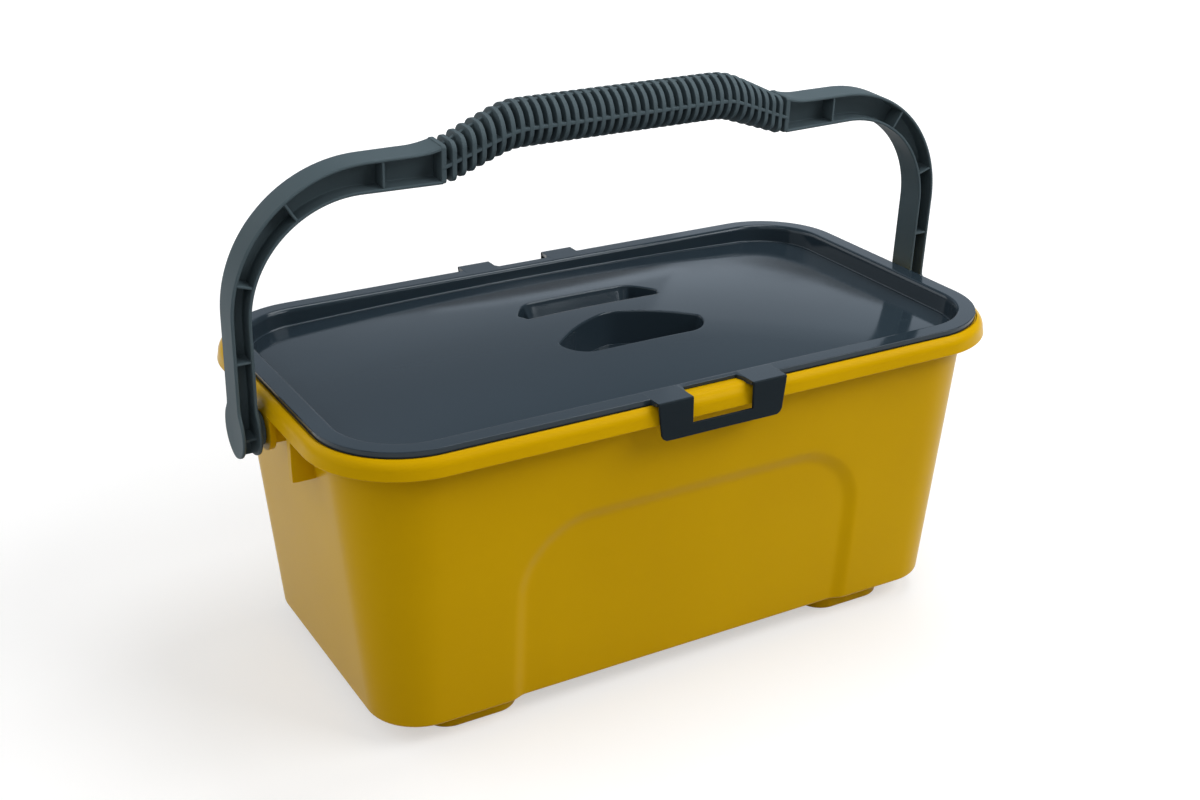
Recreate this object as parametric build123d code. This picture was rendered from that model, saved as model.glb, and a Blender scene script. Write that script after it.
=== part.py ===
from build123d import *
import math
import os

# Frame: millimetres, +X along the length, front at -Y, +Z up, Z = 0 under the feet

# Tub, outside sizes under the floor and at the rim's lower edge
BASE_LENGTH = 462.4
BASE_WIDTH = 232.8
BASE_CORNER = 38.0
MOUTH_LENGTH = 499.4
MOUTH_WIDTH = 265.4
MOUTH_CORNER = 57.0
TUB_HEIGHT = 213.4
WALL = 3.2
BASE_EDGE_ROUND = 1.2
FLOOR_ROUND = 6.0
MOUTH_ROUND = 2.0

# Recessed panel in the front and back walls
PANEL_WIDTH = 284.0
PANEL_HEIGHT = 142.0
PANEL_CORNER = 60.0
PANEL_DEPTH = 3.0
PANEL_SLOPE = 8.0

# Hollow feet under the tub's corners
FOOT_HEIGHT = 17.2
FOOT_LENGTH = 70.0
FOOT_WIDTH = 44.0
FOOT_CORNER = 19.0
FOOT_END_INSET = 37.2
FOOT_SIDE_INSET = 15.2
FOOT_DRAFT = 1.0
FOOT_EDGE_ROUND = 2.0

# Rim with a turned-down skirt
RIM_OVERHANG = 14.3
RIM_CORNER_EASE = 11.0
RIM_DEPTH = 14.1
RIM_SKIRT = 3.0
RIM_ROUND = 6.0
RIM_LIP_ROUND = 0.8

# Ribs that stiffen the rim's ends
GUSSET_SPREAD = 96.0
GUSSET_THICKNESS = 6.5
GUSSET_DROP = 31.0
GUSSET_STEP = 1.0
GUSSET_ROUND = 2.0

# Pivot bracket on each end
PIVOT_BELOW_RIM = 11.0
LUG_WIDTH = 36.0
LUG_DROP = 26.0
LUG_THICKNESS = 4.0
LUG_CORNER = 15.0
LUG_RIB_SPREAD = 30.0
LUG_RIB = 3.0
LUG_RIB_SHORT = 9.0
PIVOT_RADIUS = 8.0
PIVOT_CLEARANCE = 0.07

# Handle, measured upright from the pivot and then tilted forward
HANDLE_TILT = 3.0
ARM_STANDOFF = 4.8
ARM_THICKNESS = 13.8
ARM_DEPTH = 22.6
ARM_TOP_THICKNESS = 21.5
ARM_RISE = 174.5
ARM_OUTER_RADIUS = 95.0
ARM_INNER_RADIUS = 75.5
ARM_FLANGE = 2.6
ARM_WEB = 3.0
ARM_RIB = 2.4
ARM_RIB_STEP = 1.0
ARM_FOOT = 4.0
ARM_RIB_HEIGHT = 52.0
ARM_RIB_ANGLES = (18.5, 57.0)
ARM_RIB_FROM_GRIP = 42.0
ARM_END_RISE = 3.5
ARM_END_RUN = 22.0
ARM_END_CORNER = 3.0
ARM_END_DROP = 1.2
PAD_RADIUS = 18.3
PAD_BLEND = 14.0
PAD_WEB_STEP = 1.5
SHOULDER_RADIUS = 12.0
SHOULDER_GAP = 0.5
STUD_HEAD_RADIUS = 9.6
STUD_HEAD_LENGTH = 3.0
STUD_END_PLAY = 0.6

# Grip ribs and the webs between them
RIB_PITCH = 6.75
RIB_COUNT = 39
RIB_THICKNESS = 3.3
GRIP_RADIUS = 16.5
GRIP_RISE = 182.9
GRIP_SLOPE = 0.336
GRIP_KNEE = 84.0
GRIP_KNEE_SOFTNESS = 5.0
GRIP_SQUARE_START = 92.0
GRIP_END_HEIGHT = 29.5
GRIP_END_DEPTH = 23.6
GRIP_END_CORNER = 4.5
GRIP_WEB = 3.2
GRIP_WEB_STEP = 1.2
GRIP_SPINE = 2.6
GRIP_SPINE_STEP = 0.2

# Lid
LID_MARGIN = 5.5
LID_THICKNESS = 2.6
LID_SEAT_GAP = 0.3
LID_EDGE_ROUND = 0.8
LID_FLAT = 9.0
LID_INNER_ROUND = 8.0
LID_TRAY_DEPTH = 10.5
LID_CROWN = 12.7
LID_CROWN_MARGIN = 1.0

# Finger pockets in the lid, with the bridge between them
POCKET_DEPTH = 25.5
POCKET_WALL = 2.4
POCKET_LENGTH = 116.0
POCKET_STRAIGHT = 88.0
POCKET_MOUTH_ROUND = 2.0
FRONT_POCKET_EDGE = 54.0
FRONT_POCKET_TIP = 31.0
FRONT_POCKET_ARCH = 4.0
REAR_POCKET_EDGE = 49.0
REAR_POCKET_TIP = 29.0
REAR_POCKET_BRIDGE = 23.5
POCKET_CORNER = 5.0

# Snap latches on the lid
LATCH_WIDTH = 100.0
LATCH_FOOT_WIDTH = 93.5
LATCH_WINDOW = 47.0
LATCH_NOTCH = 9.0
LATCH_NOTCH_WIDTH = 42.0
LATCH_THICKNESS = 2.2
LATCH_BAR = 8.5
LATCH_BAR_GAP = 1.8
LATCH_CORNER = 4.0
LATCH_STANDOFF = 1.3
LATCH_HOOK_GAP = 0.4
LATCH_FOLD_GAP = 0.4
LATCH_HOOK_INSET = 4.0

# Heights and places that follow from the sizes above
BASE_Z = FOOT_HEIGHT
FLOOR_Z = BASE_Z + WALL
RIM_TOP = BASE_Z + TUB_HEIGHT
RIM_LOW = RIM_TOP - RIM_DEPTH
RIM_LENGTH = MOUTH_LENGTH + 2 * RIM_OVERHANG
RIM_WIDTH = MOUTH_WIDTH + 2 * RIM_OVERHANG
RIM_CORNER = MOUTH_CORNER + RIM_CORNER_EASE
PIVOT_Z = RIM_LOW - PIVOT_BELOW_RIM
LUG_FACE = RIM_LENGTH / 2
LUG_BACK = LUG_FACE - LUG_THICKNESS
ARM_INNER = LUG_FACE + ARM_STANDOFF
ARM_OUTER = ARM_INNER + ARM_THICKNESS
GRIP_END = RIB_PITCH * (RIB_COUNT + 1) / 2
LID_LENGTH = RIM_LENGTH - 2 * LID_MARGIN
LID_WIDTH = RIM_WIDTH - 2 * LID_MARGIN
LID_CORNER = RIM_CORNER - LID_MARGIN
LID_LOW = RIM_TOP + LID_SEAT_GAP
LID_TOP = LID_LOW + LID_THICKNESS
TRAY_INSET = LID_FLAT + LID_INNER_ROUND
TRAY_LENGTH = LID_LENGTH - 2 * TRAY_INSET
TRAY_WIDTH = LID_WIDTH - 2 * TRAY_INSET
TRAY_CORNER = LID_CORNER - TRAY_INSET
TRAY_Z = LID_TOP - LID_TRAY_DEPTH
CROWN_Z = TRAY_Z + LID_CROWN
POCKET_FLOOR = CROWN_Z - POCKET_DEPTH
LATCH_INNER = RIM_WIDTH / 2 + LATCH_STANDOFF
LATCH_OUTER = LATCH_INNER + LATCH_THICKNESS
LATCH_AXIS_Y = (LATCH_INNER + LATCH_OUTER) / 2
LATCH_AXIS_Z = LID_TOP - LATCH_THICKNESS / 2
LATCH_BAR_TOP = RIM_LOW - LATCH_BAR_GAP
LATCH_LOW = LATCH_BAR_TOP - LATCH_BAR
OVERCUT = 1.0


def prism(length, width, corner, low, high):
    """Upright prism on a rounded rectangle between two heights."""
    return extrude(Pos(0, 0, low) * RectangleRounded(length, width, corner), high - low)


def wall_solid(low, high, inset):
    """Drafted solid of the tub's walls, moved in by inset, between two heights."""
    sections = []
    for z in (low, high):
        rise = (z - BASE_Z) / (RIM_LOW - BASE_Z)
        length = BASE_LENGTH + (MOUTH_LENGTH - BASE_LENGTH) * rise - 2 * inset
        width = BASE_WIDTH + (MOUTH_WIDTH - BASE_WIDTH) * rise - 2 * inset
        corner = BASE_CORNER + (MOUTH_CORNER - BASE_CORNER) * rise - inset
        sections.append(Pos(0, 0, z) * RectangleRounded(length, width, corner))
    return loft(sections, ruled=True)


def front_wall_plane():
    """Plane on the front wall's outer face, local X along the wall, local Y up it, Z outward."""
    lean = math.atan2((MOUTH_WIDTH - BASE_WIDTH) / 2, RIM_LOW - BASE_Z)
    outward = (0, -math.cos(lean), -math.sin(lean))
    return Plane(origin=(0, -BASE_WIDTH / 2, BASE_Z), x_dir=(1, 0, 0), z_dir=outward)


def panel_step(depth, grow):
    """Tapered block of the recessed panel, its outer edge on the face that lies depth inside."""
    plane = front_wall_plane()
    sections = []
    for step, inward in ((OVERCUT / 2, 0.0), (0.0, 1.0)):
        spread = PANEL_SLOPE * (inward - step / PANEL_DEPTH)
        width = PANEL_WIDTH - 2 * spread + 2 * grow
        top = PANEL_HEIGHT - spread + grow
        low = -PANEL_HEIGHT
        shape = RectangleRounded(width, top - low, PANEL_CORNER - spread + grow)
        out = step - depth - PANEL_DEPTH * inward
        sections.append(plane * Pos(0, (top + low) / 2, out) * shape)
    return loft(sections, ruled=True)


def foot_places():
    """Name and centre of each foot."""
    x = BASE_LENGTH / 2 - FOOT_END_INSET - FOOT_LENGTH / 2
    y = BASE_WIDTH / 2 - FOOT_SIDE_INSET - FOOT_WIDTH / 2
    return {
        "foot_front_left": (-x, -y),
        "foot_front_right": (x, -y),
        "foot_rear_left": (-x, y),
        "foot_rear_right": (x, y),
    }


def foot_solid(inset, low, high):
    """Drafted pad of a foot about its own centre, moved in by inset, between two heights."""
    sections = []
    for z in (low, high):
        grow = FOOT_DRAFT * z / FOOT_HEIGHT - inset
        shape = RectangleRounded(FOOT_LENGTH + 2 * grow, FOOT_WIDTH + 2 * grow, FOOT_CORNER + grow)
        sections.append(Pos(0, 0, z) * shape)
    return loft(sections, ruled=True)


def make_tub():
    """Floor and drafted walls, with a recessed panel front and back and the feet's hollows."""
    shell = wall_solid(BASE_Z, RIM_TOP, 0)
    shell = fillet(shell.edges().group_by(Axis.Z)[0], BASE_EDGE_ROUND)
    cavity = wall_solid(FLOOR_Z, RIM_TOP + OVERCUT, WALL)
    cavity = fillet(cavity.edges().group_by(Axis.Z)[0], FLOOR_ROUND)
    for side in (1, -1):
        recess = panel_step(0, 0)
        backing = panel_step(WALL, WALL / 2)
        if side < 0:
            recess = mirror(recess, about=Plane.XZ)
            backing = mirror(backing, about=Plane.XZ)
        shell -= recess
        cavity -= backing
    tub = shell - cavity
    tub = fillet(tub.faces().sort_by(Axis.Z)[-1].inner_wires()[0].edges(), MOUTH_ROUND)
    for x, y in foot_places().values():
        tub -= Pos(x, y, 0) * foot_solid(WALL, WALL, FLOOR_Z + OVERCUT)
    return tub


def make_foot(x, y):
    """One hollow foot, open into the tub's floor."""
    pad = foot_solid(0, 0, FOOT_HEIGHT)
    pad = fillet(pad.edges().group_by(Axis.Z)[0], FOOT_EDGE_ROUND)
    return Pos(x, y, 0) * (pad - foot_solid(WALL, WALL, FOOT_HEIGHT + OVERCUT))


def ring(profile, length, width, corner):
    """Sweep a profile, drawn in XZ at the right end, round a rounded rectangle."""
    x = length / 2
    y = width / 2
    ease = corner * (1 - math.sqrt(0.5))
    path = Wire([
        Edge.make_line((x, 0, 0), (x, y - corner, 0)),
        Edge.make_three_point_arc((x, y - corner, 0), (x - ease, y - ease, 0), (x - corner, y, 0)),
        Edge.make_line((x - corner, y, 0), (corner - x, y, 0)),
        Edge.make_three_point_arc((corner - x, y, 0), (ease - x, y - ease, 0), (-x, y - corner, 0)),
        Edge.make_line((-x, y - corner, 0), (-x, corner - y, 0)),
        Edge.make_three_point_arc((-x, corner - y, 0), (ease - x, ease - y, 0), (corner - x, -y, 0)),
        Edge.make_line((corner - x, -y, 0), (x - corner, -y, 0)),
        Edge.make_three_point_arc((x - corner, -y, 0), (x - ease, ease - y, 0), (x, corner - y, 0)),
        Edge.make_line((x, corner - y, 0), (x, 0, 0)),
    ])
    return sweep(profile, path=path)


def quarter(start, end, centre):
    """Arc in XZ from start to end about a centre, up to a quarter of a circle or so."""
    radius = math.hypot(start[0] - centre[0], start[1] - centre[1])
    away_x = (start[0] + end[0]) / 2 - centre[0]
    away_z = (start[1] + end[1]) / 2 - centre[1]
    stretch = radius / math.hypot(away_x, away_z)
    middle = (centre[0] + away_x * stretch, centre[1] + away_z * stretch)
    return Edge.make_three_point_arc(flat(start), flat(middle), flat(end))


def flat(point):
    """Point of the XZ plane."""
    return (point[0], 0, point[1])


def closed_face(pieces):
    """Face in XZ from edges and straight runs of points, joined in order."""
    edges = []
    for piece in pieces:
        if isinstance(piece, Edge):
            edges.append(piece)
        else:
            edges.extend(Edge.make_line(flat(a), flat(b)) for a, b in zip(piece, piece[1:]))
    return Face(Wire(edges))


def make_rim():
    """Overhanging rim: top plate, rounded shoulder and skirt, with ribs under its ends."""
    x = RIM_LENGTH / 2
    inner = x - RIM_SKIRT
    shoulder = (x - RIM_ROUND, RIM_TOP - RIM_ROUND)
    lip = (x - RIM_LIP_ROUND, RIM_LOW + RIM_LIP_ROUND)
    under = RIM_TOP - RIM_SKIRT
    root = MOUTH_LENGTH / 2 - 2 * WALL
    profile = closed_face([
        [(inner, RIM_LOW), (lip[0], RIM_LOW)],
        quarter((lip[0], RIM_LOW), (x, lip[1]), lip),
        [(x, lip[1]), (x, shoulder[1])],
        quarter((x, shoulder[1]), (shoulder[0], RIM_TOP), shoulder),
        [(shoulder[0], RIM_TOP), (root, RIM_TOP), (root, under), (shoulder[0], under)],
        quarter((shoulder[0], under), (inner, shoulder[1]), shoulder),
        [(inner, shoulder[1]), (inner, RIM_LOW)],
    ])
    rim = ring(profile, RIM_LENGTH, RIM_WIDTH, RIM_CORNER)
    outer = x - GUSSET_STEP
    low = RIM_LOW - GUSSET_DROP
    for end in (-1, 1):
        for side in (-1, 1):
            centre = (end * (root + outer) / 2, side * GUSSET_SPREAD / 2, (low + under) / 2)
            gusset = Box(outer - root, GUSSET_THICKNESS, under - low)
            upright = gusset.edges().filter_by(Axis.Z).group_by(Axis.X)
            free = upright[-1] if end > 0 else upright[0]
            rim += Pos(*centre) * fillet(free, GUSSET_ROUND)
    return rim - wall_solid(BASE_Z, RIM_TOP + OVERCUT, 0)


def make_bracket(end, rim):
    """Pivot lug on one end of the rim, with its hole and two ribs to the wall."""
    top = RIM_TOP - RIM_SKIRT
    low = RIM_LOW - LUG_DROP
    plate = Pos(0, (top + low) / 2) * Rectangle(LUG_WIDTH, top - low)
    plate = fillet(plate.vertices().group_by(Axis.Y)[0], LUG_CORNER)
    plate -= Pos(0, PIVOT_Z) * Circle(PIVOT_RADIUS)
    lug = extrude(Plane.YZ.offset(LUG_BACK) * plate, LUG_THICKNESS)
    lug -= Pos(LUG_FACE, 0, (RIM_LOW + RIM_TOP) / 2) * Box(2 * RIM_SKIRT, 2 * LUG_WIDTH, RIM_DEPTH)
    root = BASE_LENGTH / 2
    rib_low = low + LUG_RIB_SHORT
    for side in (-1, 1):
        centre = ((root + LUG_BACK) / 2, side * LUG_RIB_SPREAD / 2, (rib_low + top) / 2)
        lug += Pos(*centre) * Box(LUG_BACK - root, LUG_RIB, top - rib_low)
    lug -= wall_solid(BASE_Z, RIM_TOP + OVERCUT, 0)
    if end < 0:
        lug = mirror(lug, about=Plane.YZ)
    return lug - rim


def arm_outline():
    """Side view of the right arm in XZ, from its closed foot up and over to the grip."""
    top = ARM_RISE
    under = ARM_RISE - ARM_TOP_THICKNESS
    outer = (ARM_OUTER - ARM_OUTER_RADIUS, top - ARM_OUTER_RADIUS)
    inner = (ARM_INNER - ARM_INNER_RADIUS, under - ARM_INNER_RADIUS)
    flare = (GRIP_END + ARM_END_RUN, top)
    crest = (GRIP_END, top + ARM_END_RISE)
    end = under - ARM_END_DROP
    corner = (GRIP_END + ARM_END_CORNER, end + ARM_END_CORNER)
    sweep_up = (flare[0], top + (ARM_END_RUN ** 2 + ARM_END_RISE ** 2) / (2 * ARM_END_RISE))
    return closed_face([
        [(ARM_INNER, -ARM_FOOT), (ARM_OUTER, -ARM_FOOT), (ARM_OUTER, outer[1])],
        quarter((ARM_OUTER, outer[1]), (outer[0], top), outer),
        [(outer[0], top), flare],
        quarter(flare, crest, sweep_up),
        [crest, (GRIP_END, corner[1])],
        quarter((GRIP_END, corner[1]), (corner[0], end), corner),
        [(corner[0], end), (inner[0], under)],
        quarter((inner[0], under), (ARM_INNER, inner[1]), inner),
        [(ARM_INNER, inner[1]), (ARM_INNER, -ARM_FOOT)],
    ])


def make_right_arm():
    """I-section arm with cross ribs, two pivot pads and the inward stud, upright at the pivot."""
    outline = arm_outline()
    block = extrude(outline, ARM_DEPTH / 2, both=True)
    hollow = offset(outline, -ARM_FLANGE)
    ribs = arm_ribs() & extrude(hollow, ARM_DEPTH / 2 - ARM_RIB_STEP, both=True)
    hollow_block = extrude(hollow, ARM_DEPTH / 2 + OVERCUT, both=True)
    web = Box(3 * ARM_OUTER, ARM_WEB, 3 * ARM_RISE)
    arm = block - (hollow_block - web) + ribs
    pad = Circle(PAD_RADIUS) + Pos(0, PAD_RADIUS) * Rectangle(ARM_DEPTH, 2 * PAD_RADIUS)
    neck = math.sqrt(PAD_RADIUS ** 2 - (ARM_DEPTH / 2) ** 2)
    corners = [v for v in pad.vertices() if abs(v.Y - neck) < OVERCUT]
    pad = fillet(corners, PAD_BLEND)
    arm += extrude(Plane.YZ.offset(ARM_INNER) * pad, ARM_FLANGE)
    arm += extrude(Plane.YZ.offset(ARM_OUTER - ARM_FLANGE) * pad, ARM_FLANGE)
    web_low = PAD_WEB_STEP - PAD_RADIUS
    fin = Box(ARM_THICKNESS - ARM_FLANGE, ARM_WEB, -web_low)
    arm += Pos((ARM_INNER + ARM_OUTER) / 2, 0, web_low / 2) * fin
    shoulder = LUG_FACE + SHOULDER_GAP
    arm += extrude(Plane.YZ.offset(shoulder) * Circle(SHOULDER_RADIUS), ARM_INNER - shoulder)
    stud_end = LUG_BACK - STUD_END_PLAY
    pin = Plane.YZ.offset(stud_end) * Circle(PIVOT_RADIUS - PIVOT_CLEARANCE)
    stud = extrude(pin, shoulder - stud_end)
    head = Plane.YZ.offset(stud_end - STUD_HEAD_LENGTH) * Circle(STUD_HEAD_RADIUS)
    return arm + stud + extrude(head, STUD_HEAD_LENGTH)


def arm_ribs():
    """Cross ribs of the right arm: one on the upright, two in the bend and one near the grip."""
    reach = ARM_OUTER_RADIUS
    bend = (ARM_INNER - ARM_INNER_RADIUS, ARM_RISE - ARM_TOP_THICKNESS - ARM_INNER_RADIUS)
    ribs = Pos(ARM_INNER, 0, ARM_RIB_HEIGHT) * Box(reach, ARM_DEPTH, ARM_RIB)
    for angle in ARM_RIB_ANGLES:
        spoke = Pos(ARM_INNER_RADIUS, 0, 0) * Box(reach, ARM_DEPTH, ARM_RIB)
        ribs += Pos(bend[0], 0, bend[1]) * Rot(0, -angle, 0) * spoke
    ribs += Pos(GRIP_END + ARM_RIB_FROM_GRIP, 0, ARM_RISE) * Box(ARM_RIB, ARM_DEPTH, reach)
    return ribs


def grip_section(x):
    """Centre height, half height, half depth and corner of the grip at a place along it."""
    knee = math.log(1 + math.exp((abs(x) - GRIP_KNEE) / GRIP_KNEE_SOFTNESS))
    height = GRIP_RISE - GRIP_SLOPE * GRIP_KNEE_SOFTNESS * knee
    share = min(max((abs(x) - GRIP_SQUARE_START) / (GRIP_END - GRIP_SQUARE_START), 0), 1)
    tall = GRIP_RADIUS + (GRIP_END_HEIGHT / 2 - GRIP_RADIUS) * share
    deep = GRIP_RADIUS + (GRIP_END_DEPTH / 2 - GRIP_RADIUS) * share
    corner = GRIP_RADIUS + (GRIP_END_CORNER - GRIP_RADIUS) * share
    return height, tall, deep, corner


def make_grip():
    """Round plates along the grip, squarer towards the arms, on an upright web and a spine."""
    half = (RIB_COUNT + 1) // 2
    places = [RIB_PITCH * k for k in range(-half, half + 1)]
    sections = [grip_section(x) for x in places]
    crest = [(x, s[0] + s[1] - GRIP_WEB_STEP) for x, s in zip(places, sections)]
    keel = [(x, s[0] - s[1] + GRIP_WEB_STEP) for x, s in zip(places, sections)]
    loop = crest + keel[::-1]
    web = extrude(closed_face([loop + loop[:1]]), GRIP_WEB / 2, both=True)
    upper = [(x, s[0] + GRIP_SPINE / 2) for x, s in zip(places, sections)]
    lower = [(x, s[0] - GRIP_SPINE / 2) for x, s in zip(places, sections)]
    loop = upper + lower[::-1]
    spine = extrude(closed_face([loop + loop[:1]]), 2 * GRIP_RADIUS, both=True)
    plan = [(x, s[2] - GRIP_SPINE_STEP) for x, s in zip(places, sections)]
    plan += [(x, -y) for x, y in plan[::-1]]
    spine &= extrude(make_face(Polyline(*plan, close=True)), GRIP_RISE + ARM_RISE)
    plates = []
    for x, (height, tall, deep, corner) in list(zip(places, sections))[1:-1]:
        if corner < GRIP_RADIUS:
            shape = RectangleRounded(2 * deep, 2 * tall, corner)
        else:
            shape = Circle(GRIP_RADIUS)
        plane = Plane.YZ.offset(x - RIB_THICKNESS / 2)
        plates.append(extrude(plane * Pos(0, height) * shape, RIB_THICKNESS))
    return web + spine + plates


def make_lid_flange():
    """Flange and sunken wall of the lid, with the arms and notches of both latches."""
    x = LID_LENGTH / 2
    wall = x - TRAY_INSET
    low = TRAY_Z - LID_THICKNESS
    bend = (x - LID_FLAT, LID_TOP - LID_INNER_ROUND)
    edge = (x - LID_EDGE_ROUND, LID_TOP - LID_EDGE_ROUND)
    profile = closed_face([
        [(x, LID_LOW), (x, edge[1])],
        quarter((x, edge[1]), (edge[0], LID_TOP), edge),
        [(edge[0], LID_TOP), (bend[0], LID_TOP)],
        quarter((bend[0], LID_TOP), (wall, bend[1]), bend),
        [(wall, bend[1]), (wall, low), (wall + LID_THICKNESS, low), (wall + LID_THICKNESS, bend[1])],
        quarter((wall + LID_THICKNESS, bend[1]), (bend[0], LID_LOW), bend),
        [(bend[0], LID_LOW), (x, LID_LOW)],
    ])
    flange = ring(profile, LID_LENGTH, LID_WIDTH, LID_CORNER)
    edge_y = LID_WIDTH / 2
    arm_end = LATCH_INNER - LATCH_FOLD_GAP
    arm_root = edge_y - LATCH_NOTCH / 2
    for side in (-1, 1):
        middle = (0, side * (arm_root + arm_end) / 2, (LID_LOW + LID_TOP) / 2)
        flange += Pos(*middle) * Box(LATCH_WIDTH, arm_end - arm_root, LID_THICKNESS)
        notch = Polyline(
            (-LATCH_WINDOW / 2, side * (arm_end + OVERCUT)),
            (-LATCH_WINDOW / 2, side * edge_y),
            (-LATCH_NOTCH_WIDTH / 2, side * (edge_y - LATCH_NOTCH)),
            (LATCH_NOTCH_WIDTH / 2, side * (edge_y - LATCH_NOTCH)),
            (LATCH_WINDOW / 2, side * edge_y),
            (LATCH_WINDOW / 2, side * (arm_end + OVERCUT)),
            close=True,
        )
        cut = extrude(Pos(0, 0, LID_LOW - OVERCUT / 2) * make_face(notch), LID_THICKNESS + OVERCUT)
        flange -= cut
    return flange


def crown_block(depth):
    """Solid under the panel's crowned top, depth thick: a dome that falls to the tray's edges."""
    a = TRAY_LENGTH / 2 + LID_CROWN_MARGIN
    b = TRAY_WIDTH / 2 + LID_CROWN_MARGIN
    net = [[(x, y, TRAY_Z) for y in (-b, 0, b)] for x in (-a, 0, a)]
    net[1][1] = (0, 0, TRAY_Z + 4 * LID_CROWN)
    return extrude(Face.make_bezier_surface(net), depth, dir=(0, 0, -1))


def front_pocket_outline():
    """Straight front edge with an arched rear edge."""
    tip = POCKET_LENGTH / 2
    run = POCKET_STRAIGHT / 2
    swell = POCKET_CORNER / 2
    bow = ((tip + run) / 2 + swell, -(FRONT_POCKET_EDGE + FRONT_POCKET_TIP) / 2 - swell)
    edges = [
        Line((-run, -FRONT_POCKET_EDGE), (run, -FRONT_POCKET_EDGE)),
        ThreePointArc((run, -FRONT_POCKET_EDGE), bow, (tip, -FRONT_POCKET_TIP)),
        ThreePointArc((tip, -FRONT_POCKET_TIP), (0, FRONT_POCKET_ARCH), (-tip, -FRONT_POCKET_TIP)),
        ThreePointArc((-tip, -FRONT_POCKET_TIP), (-bow[0], bow[1]), (-run, -FRONT_POCKET_EDGE)),
    ]
    shape = make_face(edges)
    return fillet(shape.vertices().group_by(Axis.Y)[-1], POCKET_CORNER)


def rear_pocket_outline():
    """Slot with a straight bridge edge and a shorter straight rear edge."""
    tip = POCKET_LENGTH / 2
    run = POCKET_STRAIGHT / 2
    shape = make_face(Polyline(
        (-run, REAR_POCKET_EDGE),
        (run, REAR_POCKET_EDGE),
        (tip, REAR_POCKET_TIP),
        (tip - POCKET_CORNER, REAR_POCKET_BRIDGE),
        (POCKET_CORNER - tip, REAR_POCKET_BRIDGE),
        (-tip, REAR_POCKET_TIP),
        close=True,
    ))
    return fillet(shape.vertices().group_by(Axis.Y)[-1], 2 * POCKET_CORNER)


def pocket_hole(outline):
    """Space inside a finger pocket, open above the lid."""
    return extrude(Pos(0, 0, POCKET_FLOOR) * outline, POCKET_DEPTH + POCKET_WALL)


def make_pocket(outline):
    """Cup of a finger pocket under the crowned panel."""
    base = Pos(0, 0, POCKET_FLOOR - POCKET_WALL) * offset(outline, POCKET_WALL)
    cup = extrude(base, POCKET_DEPTH + POCKET_WALL)
    under = Pos(0, 0, -LID_THICKNESS) * crown_block(POCKET_DEPTH + LID_CROWN)
    return (cup & under) - pocket_hole(outline)


def make_lid_panel(outlines):
    """Crowned panel inside the lid's wall, with both pockets' mouths cut out and eased."""
    panel = crown_block(LID_THICKNESS)
    panel &= prism(TRAY_LENGTH, TRAY_WIDTH, TRAY_CORNER, POCKET_FLOOR, CROWN_Z + OVERCUT)
    for outline in outlines:
        panel -= pocket_hole(outline)
    top = panel.faces().sort_by(SortBy.AREA)[-2:].sort_by(Axis.Z)[-1]
    mouths = [edge for wire in top.inner_wires() for edge in wire.edges()]
    return fillet(mouths, POCKET_MOUTH_ROUND)


def make_front_latch():
    """Hanging latch frame: two arms, an open window and a bar that hooks under the rim."""
    half = LATCH_WIDTH / 2
    foot = LATCH_FOOT_WIDTH / 2
    window = LATCH_WINDOW / 2
    frame = make_face(Polyline((-half, LATCH_AXIS_Z), (half, LATCH_AXIS_Z), (foot, LATCH_LOW),
                               (-foot, LATCH_LOW), close=True))
    frame = fillet(frame.vertices().group_by(Axis.Y)[0], LATCH_CORNER)
    reach = LATCH_AXIS_Z - LATCH_BAR_TOP
    frame -= Pos(0, LATCH_BAR_TOP + reach / 2) * Rectangle(2 * window, reach)
    latch = extrude(Plane.XZ.offset(LATCH_INNER) * frame, LATCH_THICKNESS)
    arm = half - window
    for side in (-1, 1):
        knuckle = Cylinder(LATCH_THICKNESS / 2, arm, rotation=(0, 90, 0))
        latch += Pos(side * (window + arm / 2), -LATCH_AXIS_Y, LATCH_AXIS_Z) * knuckle
    hook_tip = RIM_WIDTH / 2 + LATCH_HOOK_GAP
    hook_width = LATCH_FOOT_WIDTH - 2 * LATCH_HOOK_INSET
    hook_low = LATCH_LOW + LATCH_HOOK_INSET
    middle = (0, -(hook_tip + LATCH_INNER) / 2, (LATCH_BAR_TOP + hook_low) / 2)
    return latch + Pos(*middle) * Box(hook_width, LATCH_INNER - hook_tip, LATCH_BAR_TOP - hook_low)


def handle_place(shape):
    """Set a piece of the handle on the pivots, tilted as the handle stands."""
    return Pos(0, 0, PIVOT_Z) * Rot(HANDLE_TILT, 0, 0) * shape


def build():
    """Every node of the bucket by name."""
    rim = make_rim()
    arm = make_right_arm()
    front_pocket = front_pocket_outline()
    rear_pocket = rear_pocket_outline()
    latch = make_front_latch()
    nodes = {"tub": make_tub(), "rim": rim}
    nodes["left_pivot_bracket"] = make_bracket(-1, rim)
    nodes["right_pivot_bracket"] = make_bracket(1, rim)
    for name, (x, y) in foot_places().items():
        nodes[name] = make_foot(x, y)
    nodes["lid_flange"] = make_lid_flange()
    nodes["lid_panel"] = make_lid_panel((front_pocket, rear_pocket))
    nodes["front_finger_pocket"] = make_pocket(front_pocket)
    nodes["rear_finger_pocket"] = make_pocket(rear_pocket)
    nodes["front_latch"] = latch
    nodes["rear_latch"] = mirror(latch, about=Plane.XZ)
    nodes["handle_left_arm"] = handle_place(mirror(arm, about=Plane.YZ))
    nodes["handle_right_arm"] = handle_place(arm)
    nodes["handle_grip"] = handle_place(make_grip())
    return nodes


os.makedirs("parts", exist_ok=True)
for node, shape in build().items():
    export_step(shape, f"parts/{node}.step")
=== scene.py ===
import math
import bmesh
import bpy
import numpy as np
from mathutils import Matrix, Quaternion, Vector


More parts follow.
